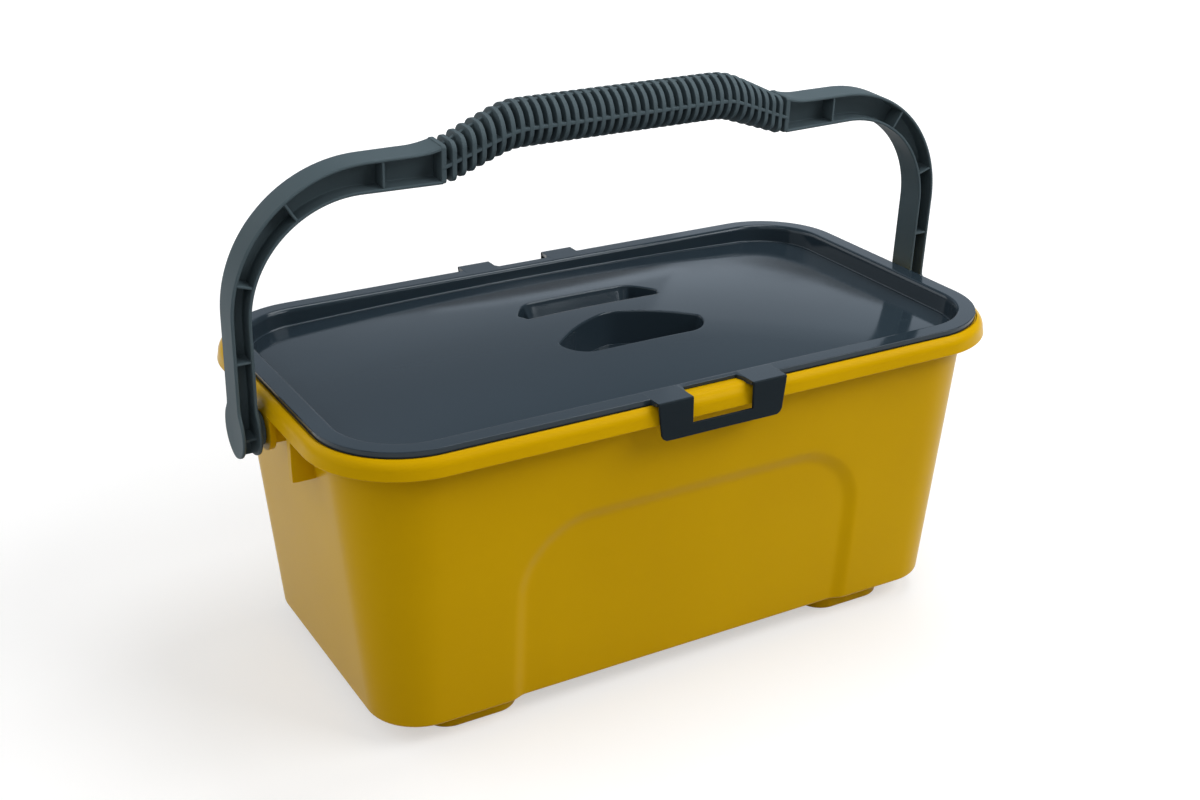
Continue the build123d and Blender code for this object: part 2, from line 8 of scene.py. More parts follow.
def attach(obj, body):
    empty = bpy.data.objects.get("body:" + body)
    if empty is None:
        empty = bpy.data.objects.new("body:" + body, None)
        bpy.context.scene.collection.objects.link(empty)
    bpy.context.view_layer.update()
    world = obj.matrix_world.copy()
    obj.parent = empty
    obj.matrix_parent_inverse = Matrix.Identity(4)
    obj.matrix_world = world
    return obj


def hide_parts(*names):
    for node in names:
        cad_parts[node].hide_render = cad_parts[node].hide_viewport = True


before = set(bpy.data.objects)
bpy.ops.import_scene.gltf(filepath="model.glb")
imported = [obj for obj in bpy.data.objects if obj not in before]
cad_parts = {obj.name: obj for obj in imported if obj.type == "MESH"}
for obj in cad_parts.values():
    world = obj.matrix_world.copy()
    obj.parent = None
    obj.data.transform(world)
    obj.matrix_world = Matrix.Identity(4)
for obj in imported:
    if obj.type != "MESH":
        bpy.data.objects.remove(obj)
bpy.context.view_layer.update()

# Sizes in millimetres; a plan is length, width and corner radius
BASE = np.array((462.4, 232.8, 38.0))
MOUTH = np.array((499.4, 265.4, 57.0))
RIM = np.array((528.0, 294.0, 68.0))
LID = np.array((517.0, 283.0, 62.5))
FOOT = np.array((70.0, 44.0, 19.0))

# Tub and rim
BASE_Z, FLOOR_Z, RIM_LOW, RIM_TOP = 17.2, 20.4, 216.5, 230.6
WALL, BASE_ROUND, FLOOR_ROUND = 3.2, 2.2, 6.0
PANEL_HALF, PANEL_TOP, PANEL_CORNER = 142.0, 142.0, 60.0
PANEL_DEPTH, PANEL_SLOPE = 3.6, 13.0
FOOT_X, FOOT_Y, FOOT_ROUND, FOOT_FLARE, FOOT_SUNK = 159.0, 79.2, 2.4, 2.0, 0.6
UNDER_SINK, UNDER_SHRINK, FLOOR_SINK, FLOOR_SHRINK = 14.0, 1.5, 16.4, 3.2
HOLLOW_SLOPE = 3.5
RIM_SKIRT, RIM_ROUND, RIM_DRAFT, RIM_LIP_ROUND, RIM_MOUTH_ROUND = 3.0, 10.0, 0.8, 0.9, 2.0
SEAT_EDGE, SEAT_END, SEAT_RUN_OUT = 5.5, 28.0, 18.0
GUSSET_Y, GUSSET_WIDTH, GUSSET_DROP, GUSSET_OUTER = 48.0, 6.5, 31.0, 262.4
GUSSET_BELOW_TOP, GUSSET_IN_WALL, GUSSET_EDGE = 7.0, 1.4, 0.4

# Lid and latches
LID_LOW, LID_LIP, LID_TOP, TRAY_Z = 230.9, 229.0, 233.5, 223.0
LID_THICKNESS, LID_FLAT, LID_FALL, LID_SET_IN, TRAY_INSET = 2.6, 15.6, 0.15, 1.6, 17.0
LID_EDGE_ROUND = 0.5
TRAY_END, TRAY_BOW, CROWN, CROWN_HALF_X, CROWN_HALF_Y = 219.0, 5.3, 11.4, 242.5, 125.5
BRIDGE_Y = 14.0
FRONT_POCKET_MIDDLE = np.array((0.0, -30.0))
REAR_POCKET_MIDDLE = np.array((0.0, 36.5))
POCKET_FLOOR, POCKET_WALL, POCKET_DRAFT, POCKET_FILLET = 210.2, 2.4, 0.8, 0.4
POCKET_MOUTH, BRIDGE_MOUTH = 1.4, 2.6
POCKET_RAMP, POCKET_RAMP_HALF, POCKET_RAMP_END = 8.7, 45.6, 2.4
CUP_ROUND, CUP_DROP = 1.8, 0.6
LATCH_HALF, LATCH_FOOT_HALF, LATCH_WINDOW = 50.0, 46.75, 23.5
FRONT_NOTCH, REAR_NOTCH, NOTCH_HALF = 7.4, 3.6, 21.0
LATCH_AXIS_Y, LATCH_AXIS_Z, LATCH_THICKNESS = 149.4, 232.4, 2.2
LATCH_BAR_TOP, LATCH_LOW, LATCH_CORNER, LATCH_EDGE = 214.7, 206.2, 4.0, 0.6
HOOK_FROM_END, HOOK_DEEP, HOOK_TALL, HOOK_EDGE, HOOK_OUT, HOOK_DOWN = 4.0, 1.0, 4.2, 0.35, 0.35, 2.6

# Handle
PIVOT_Z, HANDLE_TILT = 205.5, math.radians(3.0)
ARM_INNER, ARM_OUTER, ARM_HALF = 268.8, 282.6, 11.3
ARM_FLANGE, ARM_WEB, ARM_WEB_BACK = 2.3, 3.0, 4.2
ARM_RISE, ARM_UNDER = 174.5, 153.0
ARM_END_RISE, ARM_END_RUN, ARM_END_DROP = 3.5, 22.0, 1.2
ARM_RIB, ARM_RIB_HALF, ARM_RIB_EDGE = 1.7, 10.6, 0.5
ARM_RIB_HEIGHTS, ARM_RIB_ANGLES, ARM_RIB_FROM_GRIP = (-3.0, 52.0), (18.5, 57.0), 42.0
ARM_EASE, ARM_EASE_START, ARM_EASE_RUN = 1.4, 30.0, 28.0
ARM_PLATE, ARM_PLATE_CORNER, ARM_PLATE_EDGE = 3.8, 2.6, 0.8
BEND_INNER, BEND_OUTER = 75.5, 95.0
BEND_INNER_MIDDLE = np.array((ARM_INNER, ARM_UNDER)) - BEND_INNER
BEND_OUTER_MIDDLE = np.array((ARM_OUTER, ARM_RISE)) - BEND_OUTER
PAD_RADIUS, PAD_BLEND_LOW, PAD_BLEND = 18.3, -4.0, 12.0
GRIP_END, GRIP_RADIUS, GRIP_RISE = 135.0, 16.5, 182.9
GRIP_SLOPE, GRIP_KNEE, GRIP_KNEE_SOFTNESS = 0.4, 85.0, 3.5
GRIP_SQUARE_START, GRIP_END_TALL, GRIP_END_DEEP, GRIP_END_CORNER = 92.0, 13.2, 11.8, 4.5
GRIP_WEB_HALF, GRIP_WEB_STEP, GRIP_SPINE_HALF, GRIP_SPINE_STEP = 1.6, 1.2, 1.3, 0.25
GRIP_CORE_EDGE, MARK_EVERY, MARK_SUNK = 0.8, 5, 0.2
RIB_PITCH, RIB_COUNT, RIB_THICKNESS, RIB_EDGE = 6.75, 39, 3.3, 0.5

SHARP_EDGE = math.radians(38.0)
ENDS, SIDES = (("left", -1), ("right", 1)), (("front", -1), ("rear", 1))


# Shapes

def ramp(t):
    """Rise from 0 to 1 with level ends: three t squared less two t cubed."""
    t = np.clip(t, 0.0, 1.0)
    return t * t * (3.0 - 2.0 * t)


def unit(vectors):
    """Vectors divided by their lengths."""
    return vectors / np.maximum(np.linalg.norm(vectors, axis=-1, keepdims=True), 1e-9)


def eased(corners, radii, steps):
    """Closed outline whose corners are arcs.

    At each corner the arc's centre lies on the bisector, at the radius over the sine of half the
    angle, and its ends lie on the two sides, at the radius over the tangent of half the angle.
    """
    back = unit(np.roll(corners, 1, axis=-2) - corners)
    ahead = unit(np.roll(corners, -1, axis=-2) - corners)
    half = np.arccos(np.clip((back * ahead).sum(-1), -1.0, 1.0)) / 2
    radii = np.broadcast_to(radii, half.shape)
    centre = corners + unit(back + ahead) * (radii / np.sin(half))[..., None]
    first = corners + back * (radii / np.tan(half))[..., None] - centre
    last = corners + ahead * (radii / np.tan(half))[..., None] - centre
    start = np.arctan2(first[..., 1], first[..., 0])
    turn = np.arctan2(last[..., 1], last[..., 0]) - start
    turn = (turn + np.pi) % (2 * np.pi) - np.pi
    angle = start[..., None] + turn[..., None] * np.linspace(0.0, 1.0, steps + 1)
    arcs = np.stack([np.cos(angle), np.sin(angle)], axis=-1) * radii[..., None, None]
    points = centre[..., None, :] + arcs
    return points.reshape(*corners.shape[:-2], -1, 2)


def section_corners(*pairs):
    """Corners of a section at each place along a path, each a pair of across and up."""
    return np.stack([np.stack(pair, axis=1) for pair in pairs], axis=1)


def round_plan(ends, sides, corner_steps):
    """Places round a rounded rectangle, anticlockwise from the middle of its right end.

    Each place has its corner centre as shares of the straight runs, and its outward direction:
    constant along a run, turning through a quarter circle at a corner.
    """
    ends = np.asarray(ends, float)
    sides = np.asarray(sides, float)
    arc = np.linspace(0.0, np.pi / 2, corner_steps + 1)
    quarter = np.pi / 2
    runs = [
        (1.0, ends, 0.0 * ends),
        (1.0, 1.0, arc),
        (sides[::-1], 1.0, 0.0 * sides + quarter),
        (-1.0, 1.0, arc + quarter),
        (-1.0, ends[::-1], 0.0 * ends + 2 * quarter),
        (-1.0, -1.0, arc + 2 * quarter),
        (sides, -1.0, 0.0 * sides + 3 * quarter),
        (1.0, -1.0, arc + 3 * quarter),
    ]
    runs = [np.broadcast_arrays(*run) for run in runs]
    share_x, share_y, angle = (np.concatenate([run[k] for run in runs]) for k in range(3))
    return np.stack([share_x, share_y, np.cos(angle), np.sin(angle)])


def ring(plan, size, inset, height):
    """Profile carried round a rounded rectangle.

    A point is its corner centre plus the outward direction times the corner radius less the
    inset. Size, inset and height may change along the profile, the last two along the path too.
    """
    share_x, share_y, out_x, out_y = (row[:, None] for row in plan)
    length, width, corner = size
    x = share_x * (length / 2 - corner) + (corner - inset) * out_x
    y = share_y * (width / 2 - corner) + (corner - inset) * out_y
    return np.stack(np.broadcast_arrays(x, y, height + 0.0 * x), axis=-1)


def closed_between(grid, low, high):
    """Grid with one more row before and after it, all at a low and a high place on its axis."""
    ends = np.zeros((2, grid.shape[0], 1, 3))
    ends[0, ..., 2], ends[1, ..., 2] = low, high
    return np.concatenate([ends[0], grid, ends[1]], axis=1)


def capped(grid):
    """Grid with one more row at each end, every point of it at the middle of that end's ring."""
    middles = np.broadcast_to(grid[[0, -1]].mean(axis=1, keepdims=True), (2, *grid.shape[1:]))
    return np.concatenate([middles[:1], grid, middles[1:]])


def slab(size, thickness, edge, steps, corner_steps):
    """Rounded rectangle carried up through a thickness about the origin.

    Near both faces it shrinks by the edge radius along a quarter circle, and then closes.
    """
    bend = np.linspace(0.0, np.pi / 2, steps + 1)
    inset = edge * (1.0 - np.sin(bend))
    rise = edge * (1.0 - np.cos(bend)) - thickness / 2
    rows_in, rows_up = (np.concatenate(rows) for rows in ((inset, inset[::-1]), (rise, -rise[::-1])))
    outline = ring(round_plan([], [], corner_steps), size, rows_in, rows_up)
    return closed_between(outline, -thickness / 2, thickness / 2)


def block(middle, axes, size, edge, steps=3):
    """Small moulded bar with rounded edges, its three sizes along its own axes."""
    local = slab((size[0], size[1], edge * 1.001), size[2], edge, steps, steps)
    return np.asarray(middle, float) + local @ np.asarray(axes, float)


def turned(profile, steps):
    """Round piece about the X axis: each radius of the profile swept through a full circle."""
    angle = np.linspace(0.0, 2 * np.pi, steps, endpoint=False)[:, None]
    radius, reach = np.asarray(profile, float).T
    x = reach + 0.0 * angle
    return np.stack([x, radius * np.cos(angle), radius * np.sin(angle)], axis=-1)


def grid_faces(shape, wrap_u, wrap_v, start):
    """Four-sided faces of a grid of points, joined round where it wraps."""
    rows, columns = shape
    u = np.arange(rows if wrap_u else rows - 1)[:, None]
    v = np.arange(columns if wrap_v else columns - 1)[None, :]
    u_next, v_next = (u + 1) % rows, (v + 1) % columns
    near, far = u * columns, u_next * columns
    corners = np.broadcast_arrays(near + v, far + v, far + v_next, near + v_next)
    return start + np.stack(corners, axis=-1).reshape(-1, 4)


def moulding(name, sheets, body, skin, nodes):
    """One piece from grids of points in millimetres: joined, merged and turned outwards."""
    points = np.concatenate([grid.reshape(-1, 3) for grid, _, _ in sheets]) * 0.001
    starts = np.cumsum([0] + [grid.shape[0] * grid.shape[1] for grid, _, _ in sheets])
    faces = np.concatenate([
        grid_faces(grid.shape[:2], wrap_u, wrap_v, start)
        for (grid, wrap_u, wrap_v), start in zip(sheets, starts)
    ])
    mesh = bpy.data.meshes.new(name)
    mesh.from_pydata(points.tolist(), [], faces.tolist())
    shell = bmesh.new()
    shell.from_mesh(mesh)
    bmesh.ops.remove_doubles(shell, verts=shell.verts, dist=2e-6)
    bmesh.ops.dissolve_degenerate(shell, edges=shell.edges, dist=1e-6)
    bmesh.ops.recalc_face_normals(shell, faces=shell.faces)
    shell.to_mesh(mesh)
    shell.free()
    mesh.polygons.foreach_set("use_smooth", np.ones(len(mesh.polygons), dtype=bool))
    mesh.set_sharp_from_angle(angle=SHARP_EDGE)
    piece = bpy.data.objects.new(name, mesh)
    bpy.context.scene.collection.objects.link(piece)
    flats = piece.modifiers.new("even_shading", "WEIGHTED_NORMAL")
    flats.keep_sharp = True
    mesh.materials.append(skin)
    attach(piece, body)
    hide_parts(*nodes)


# Finishes

def new_finish(name):
    """New material with its node tree and its shader."""
    material = bpy.data.materials.new(name)
    material.use_nodes = True
    return material, material.node_tree, material.node_tree.nodes["Principled BSDF"]


def fill(node, values):
    """Values set on a node's named inputs."""
    for label, value in values.items():
        node.inputs[label].default_value = value


def new_group(name, inputs, outputs):
    """Empty shader group with number inputs and the named outputs."""
    group = bpy.data.node_groups.new(name, "ShaderNodeTree")
    for label, value in inputs:
        socket = group.interface.new_socket(label, in_out="INPUT", socket_type="NodeSocketFloat")
        socket.default_value = value
    for label, kind in outputs:
        group.interface.new_socket(label, in_out="OUTPUT", socket_type=kind)
    entry = group.nodes.new("NodeGroupInput")
    leave = group.nodes.new("NodeGroupOutput")
    return group, entry, leave


def noise(tree, place, size, detail):
    """Noise on object coordinates, its features about as wide as size in metres."""
    node = tree.nodes.new("ShaderNodeTexNoise")
    fill(node, {"Scale": 1.0 / size, "Detail": detail})
    tree.links.new(place, node.inputs["Vector"])
    return node.outputs["Fac"]


def spread(tree, value, low, high, out_low, out_high):
    """Share of a value's range moved to another range."""
    node = tree.nodes.new("ShaderNodeMapRange")
    fill(node, {"From Min": low, "From Max": high, "To Min": out_low, "To Max": out_high})
    tree.links.new(value, node.inputs["Value"])
    return node.outputs["Result"]


def moulded_skin_group():
    """Moulded plastic: slow drift of tone, patchy polish and fine tool grain."""
    outputs = [(label, "NodeSocketFloat") for label in ("Drift", "Polish", "Grain")]
    group, entry, leave = new_group("moulded_skin", [("Grain Size", 0.0006)], outputs)
    place = group.nodes.new("ShaderNodeTexCoord").outputs["Object"]
    drift = noise(group, place, 0.16, 2.0)
    group.links.new(spread(group, drift, 0.3, 0.7, 0.0, 1.0), leave.inputs["Drift"])
    streak = group.nodes.new("ShaderNodeMapping")
    streak.inputs["Scale"].default_value = (1.0, 1.0, 0.35)
    group.links.new(place, streak.inputs["Vector"])
    polish = noise(group, streak.outputs["Vector"], 0.035, 3.0)
    group.links.new(spread(group, polish, 0.3, 0.7, 0.0, 1.0), leave.inputs["Polish"])
    inverse = group.nodes.new("ShaderNodeMath")
    inverse.operation = "DIVIDE"
    inverse.inputs[0].default_value = 1.0
    group.links.new(entry.outputs["Grain Size"], inverse.inputs[1])
    grain = group.nodes.new("ShaderNodeTexNoise")
    grain.inputs["Detail"].default_value = 2.0
    group.links.new(place, grain.inputs["Vector"])
    group.links.new(inverse.outputs["Value"], grain.inputs["Scale"])
    group.links.new(grain.outputs["Fac"], leave.inputs["Grain"])
    return group


def plastic(name, skin, grain_size, dark, light, polish, bump, specular, tint):
    """Plastic finish: tone between two colours, roughness between two values, grain as a bump."""
    material, tree, shader = new_finish(name)
    fill(shader, {"Specular IOR Level": specular, "Specular Tint": (*tint, 1.0)})
    cover = tree.nodes.new("ShaderNodeGroup")
    cover.node_tree = skin
    cover.inputs["Grain Size"].default_value = grain_size
    tone = tree.nodes.new("ShaderNodeMix")
    tone.data_type = "RGBA"
    tone.inputs["A"].default_value = (*dark, 1.0)
    tone.inputs["B"].default_value = (*light, 1.0)
    tree.links.new(cover.outputs["Drift"], tone.inputs["Factor"])
    tree.links.new(tone.outputs["Result"], shader.inputs["Base Color"])
    rough = spread(tree, cover.outputs["Polish"], 0.0, 1.0, *polish)
    tree.links.new(rough, shader.inputs["Roughness"])
    relief = tree.nodes.new("ShaderNodeBump")
    fill(relief, {"Strength": bump[0], "Distance": bump[1]})
    tree.links.new(cover.outputs["Grain"], relief.inputs["Height"])
    tree.links.new(relief.outputs["Normal"], shader.inputs["Normal"])
    return material


# Tub

def tub_size(height):
    """Plan of the tub's outside at a height: the base's plan moved in proportion to the mouth's."""
    rise = (np.asarray(height, float) - BASE_Z) / (RIM_LOW - BASE_Z)
    return tuple(low + (high - low) * rise for low, high in zip(BASE, MOUTH))


def panel_recess(points):
    """Depth of the recessed panel: a level ramp of the distance inside its rounded outline."""
    across = np.abs(points[..., 0]) - (PANEL_HALF - PANEL_CORNER)
    up = points[..., 2] - BASE_Z - (PANEL_TOP - PANEL_CORNER)
    outside = np.hypot(np.maximum(across, 0.0), np.maximum(up, 0.0))
    inside = PANEL_CORNER - outside - np.minimum(np.maximum(across, up), 0.0)
    return PANEL_DEPTH * ramp(inside / PANEL_SLOPE)


def sunk_feet(points, shrink):
    """How far a place on the floor lies in a foot's hollow, 0 outside to 1 inside."""
    length, width, corner = FOOT - np.array((2.0, 2.0, 1.0)) * shrink
    across = np.abs(np.abs(points[..., 0]) - FOOT_X) - (length / 2 - corner)
    deep = np.abs(np.abs(points[..., 1]) - FOOT_Y) - (width / 2 - corner)
    outside = np.hypot(np.maximum(across, 0.0), np.maximum(deep, 0.0))
    inside = corner - outside - np.minimum(np.maximum(across, deep), 0.0)
    return ramp(inside / HOLLOW_SLOPE)


def tub_shell():
    """Drafted tub, one closed wall.

    Rows go from the middle of the underside out to the wall, up the outside, over the top edge,
    down the inside and back to the middle of the floor. Front and back are set in by the panel's
    depth, and the floor sinks into the feet.
    """
    near = np.arange(-148.0, 148.1, 2.0)
    far = np.array((156.0, 166.0, 178.0))
    sides = np.concatenate([-far[::-1], near, far]) / (BASE[0] / 2 - BASE[2])
    plan = round_plan(np.linspace(-0.9, 0.9, 7), sides, 16)
    bend = np.linspace(0.0, np.pi / 2, 5)
    rise = np.concatenate([np.arange(22.0, 172.0, 2.0), np.linspace(174.0, 228.0, 12)])
    fall = np.concatenate([np.linspace(228.0, 172.0, 8), np.arange(166.0, 30.0, -4.0)])
    out_in = BASE_ROUND * (1.0 - np.sin(bend))
    out_up = BASE_Z + BASE_ROUND * (1.0 - np.cos(bend))
    floor_in = WALL + FLOOR_ROUND * (1.0 - np.cos(bend))
    floor_up = FLOOR_Z + FLOOR_ROUND * (1.0 - np.sin(bend))
    inset = np.concatenate([out_in, 0.0 * rise, WALL + 0.0 * fall, floor_in])
    height = np.concatenate([out_up, rise, fall, floor_up])
    wall = ring(plan, tub_size(height), inset, height)
    on_long_side = np.abs(wall[..., 1]) > BASE[1] / 4
    wall[..., 1] -= np.sign(wall[..., 1]) * panel_recess(wall) * on_long_side
    shrink = np.linspace(0.0, 1.0, 40)[None, :, None]
    under = wall[:, :1] * shrink
    under[..., 2] = BASE_Z - UNDER_SINK * sunk_feet(under, UNDER_SHRINK)
    floor = wall[:, -1:] * shrink[:, ::-1]
    floor[..., 2] = FLOOR_Z - FLOOR_SINK * sunk_feet(floor, FLOOR_SHRINK)
    return np.concatenate([under, wall[:, 1:-1], floor], axis=1)


def foot_pad(x, y):
    """Foot: a drafted rounded rectangle, flared where it meets the tub, its lower edge rounded."""
    plan = round_plan([], [], 12)
    bend = np.linspace(0.0, np.pi / 2, 6)
    top = BASE_Z + FOOT_SUNK
    low_in = FOOT_ROUND * (1.0 - np.sin(bend))
    low_up = FOOT_ROUND * (1.0 - np.cos(bend))
    side_up = np.linspace(4.0, BASE_Z - FOOT_FLARE, 5)
    top_in = -FOOT_FLARE * (1.0 - np.cos(bend))
    top_up = BASE_Z - FOOT_FLARE + FOOT_FLARE * np.sin(bend)
    height = np.concatenate([low_up, side_up, top_up, [top]])
    inset = np.concatenate([low_in, 0.0 * side_up, top_in, [0.0]]) - height / BASE_Z
    pad = ring(plan, FOOT, inset, height)
    return closed_between(pad, 0.0, top) + np.array((x, y, 0.0))


def rim_band():
    """Rim: skirt, rounded shoulder and top plate carried round the tub, down into its mouth.

    The outer rows follow the rim's own plan and the inner rows the tub's, so the plate between
    them takes up the difference at the corners. A shallow seat for the lid's lip is sunk in the
    shoulder's top and runs out under the latches' arms.
    """
    plan = round_plan(np.linspace(-0.95, 0.95, 15), np.linspace(-0.98, 0.98, 41), 28)
    small = np.linspace(0.0, np.pi / 2, 4)
    shoulder = RIM_ROUND - RIM_DRAFT
    shoulder_low = RIM_TOP - shoulder
    bend = np.linspace(0.0, np.arccos((RIM_ROUND - SEAT_EDGE) / shoulder), 8)
    seat_in = np.array((5.75, 6.0, 6.1, 6.4, 9.3, 9.6, 9.7, RIM_ROUND))
    seat_up = RIM_TOP - np.array((1.2, 1.45, 2.1, 2.4, 2.4, 2.1, 0.3, 0.0))
    round_up = shoulder_low + np.sqrt(shoulder ** 2 - (RIM_ROUND - seat_in) ** 2)
    across = np.abs(plan[0] * (RIM[0] / 2 - RIM[2]))
    on_side = np.abs(plan[3]) > 0.999
    seat = np.where(on_side, ramp((across - SEAT_END) / SEAT_RUN_OUT), 1.0)[:, None]
    lip_in = RIM_LIP_ROUND * (1.0 - np.sin(small))
    lip_up = RIM_LOW + RIM_LIP_ROUND * (1.0 - np.cos(small))
    skirt_in = np.concatenate([[RIM_SKIRT, RIM_SKIRT - 0.4], lip_in,
                               RIM_DRAFT + shoulder * (1.0 - np.cos(bend)), seat_in])
    skirt_up = np.concatenate([[RIM_LOW + 0.4, RIM_LOW], lip_up,
                               shoulder_low + shoulder * np.sin(bend)])
    seat_rows = round_up + seat * (seat_up - round_up)
    skirt_up = np.concatenate([skirt_up + 0.0 * seat, seat_rows], axis=1)
    mouth_low = RIM_TOP - RIM_MOUTH_ROUND
    mouth_in = np.concatenate([WALL + RIM_MOUTH_ROUND * (np.sin(small) - 1.0), [WALL, 0.4]])
    mouth_up = np.concatenate([mouth_low + RIM_MOUTH_ROUND * np.cos(small),
                               [mouth_low - 0.7, mouth_low - 0.9]])
    under_round = RIM_ROUND - RIM_SKIRT
    under_in = RIM_ROUND - under_round * np.sin(small)
    under_up = RIM_TOP - RIM_ROUND + under_round * np.cos(small)
    outer = ring(plan, RIM, skirt_in, skirt_up)
    inner = ring(plan, tub_size(mouth_up), mouth_in, mouth_up)
    under = ring(plan, RIM, under_in, under_up)
    return np.concatenate([outer, inner, under], axis=1)


def gusset(end, side):
    """Rib under the rim's end: an upright block whose inner edge leans with the tub's wall."""
    low, high = RIM_LOW - GUSSET_DROP, RIM_TOP - GUSSET_BELOW_TOP
    middle, size = (0.5, side * GUSSET_Y, (low + high) / 2), (1.0, GUSSET_WIDTH, high - low)
    grid = block(middle, np.eye(3), size, GUSSET_EDGE, 4)
    wall = tub_size(grid[..., 2])[0] / 2 - GUSSET_IN_WALL
    grid[..., 0] = end * (wall + (GUSSET_OUTER - wall) * grid[..., 0])
    return grid


# Lid

def crown_height(points):
    """Top of the crowned panel, which is bowed along its length and domed on top of that.

    The bow falls as the square of X to the tray's ends, and the dome as the square of X and of Y.
    """
    across = 1.0 - (points[..., 0] / CROWN_HALF_X) ** 2
    deep = 1.0 - (points[..., 1] / CROWN_HALF_Y) ** 2
    return TRAY_END + across * (TRAY_BOW + CROWN * deep)


def pocket_reach(angle, edges, crisp):
    """Distance from a pocket's middle to its edge along each direction.

    Each straight edge is a direction and a distance, and gives the distance over the cosine
    between; the soft least of them, a sum of high inverse powers, rounds the corners.
    """
    facing, distance = np.radians(edges[:, 0]), edges[:, 1]
    toward = np.maximum(np.cos(angle[:, None] - facing), 1e-3)
    return ((toward / distance) ** crisp).sum(axis=1) ** (-1.0 / crisp)


def front_pocket_edges():
    """Straight front edge, round front corners and an arched rear edge, as tangents.

    A round of radius r about a centre gives tangents at r plus the centre's reach in the tangent's
    direction: a round for each front corner, a wide one for each side of the arch, one for its top.
    """
    corner = (np.linspace(-80.0, 0.0, 6), 36.5, -1.0, 20.5)
    flank = (np.linspace(48.0, 74.0, 9), -31.1, -82.4, 120.3)
    crest = (np.linspace(78.0, 90.0, 4), 0.0, 6.5, 26.3)

    def tangents(facing, x, y, radius):
        turn = np.radians(facing)
        return np.stack([facing, x * np.cos(turn) + y * np.sin(turn) + radius], axis=1)

    right = np.concatenate([tangents(*arc) for arc in (corner, flank, crest)])
    left = right[:-1] * (-1.0, 1.0) + (180.0, 0.0)
    return np.concatenate([right, left, [(-90.0, 21.5)]])


def rear_pocket_edges():
    """Slot: straight bridge edge, shorter straight rear edge, slanted and rounded ends."""
    right = np.array([(0.0, 58.2), (35.0, 45.0), (62.5, 31.8), (-42.3, 48.8)])
    left = right * (-1.0, 1.0) + (180.0, 0.0)
    return np.concatenate([right, left, [(90.0, 15.0), (-90.0, 13.0)]])


def lid_edge(plan):
    """Inset and height of the flange's edge rows, under to top, at each place round the lid.

    A plain edge is set in from the lid's plan, with a lip that hangs into the rim's seat. At a
    latch's notch the edge moves in along two short slants and has no lip, and at its arms it goes
    out to a thin edge over the fold.
    """
    bend = np.linspace(0.0, np.pi / 2, 4)
    top = LID_TOP - LID_FALL - LID_EDGE_ROUND
    round_in, round_up = LID_EDGE_ROUND * (1.0 - np.cos(bend)), LID_EDGE_ROUND * np.sin(bend)
    plain_in = LID_SET_IN + np.concatenate([[2.0, 0.9, 0.0], round_in])
    plain_up = np.concatenate([[LID_LOW, LID_LIP, LID_LIP + 0.2], top + round_up])
    no_lip = (LID_LOW - 0.1 - LID_LIP) * np.array((0.0, 1.0, 1.0, 0.0, 0.0, 0.0, 0.0))
    fold = LID[1] / 2 - LATCH_AXIS_Y
    arm_in = fold + np.array((1.6, 1.6, 1.5, 0.1, 0.0, 0.3, 0.9))
    arm_up = np.append(LID_LOW, LID_TOP - np.array((0.3, 0.16, 0.14, 0.06, 0.0, 0.0)))
    across = np.abs(plan[0] * (LID[0] / 2 - LID[2]))
    on_side = np.abs(plan[3]) > 0.999
    arm = (on_side & (across > LATCH_WINDOW) & (across < LATCH_HALF))[:, None]
    depth = np.where(plan[3] < 0.0, FRONT_NOTCH, REAR_NOTCH) * on_side
    slant = np.clip((LATCH_WINDOW - across) / (LATCH_WINDOW - NOTCH_HALF), 0.0, 1.0)
    notch = (on_side * slant)[:, None]
    edge_in = plain_in + depth[:, None] * notch
    edge_up = plain_up + no_lip * notch
    return np.where(arm, arm_in, edge_in), np.where(arm, arm_up, edge_up)


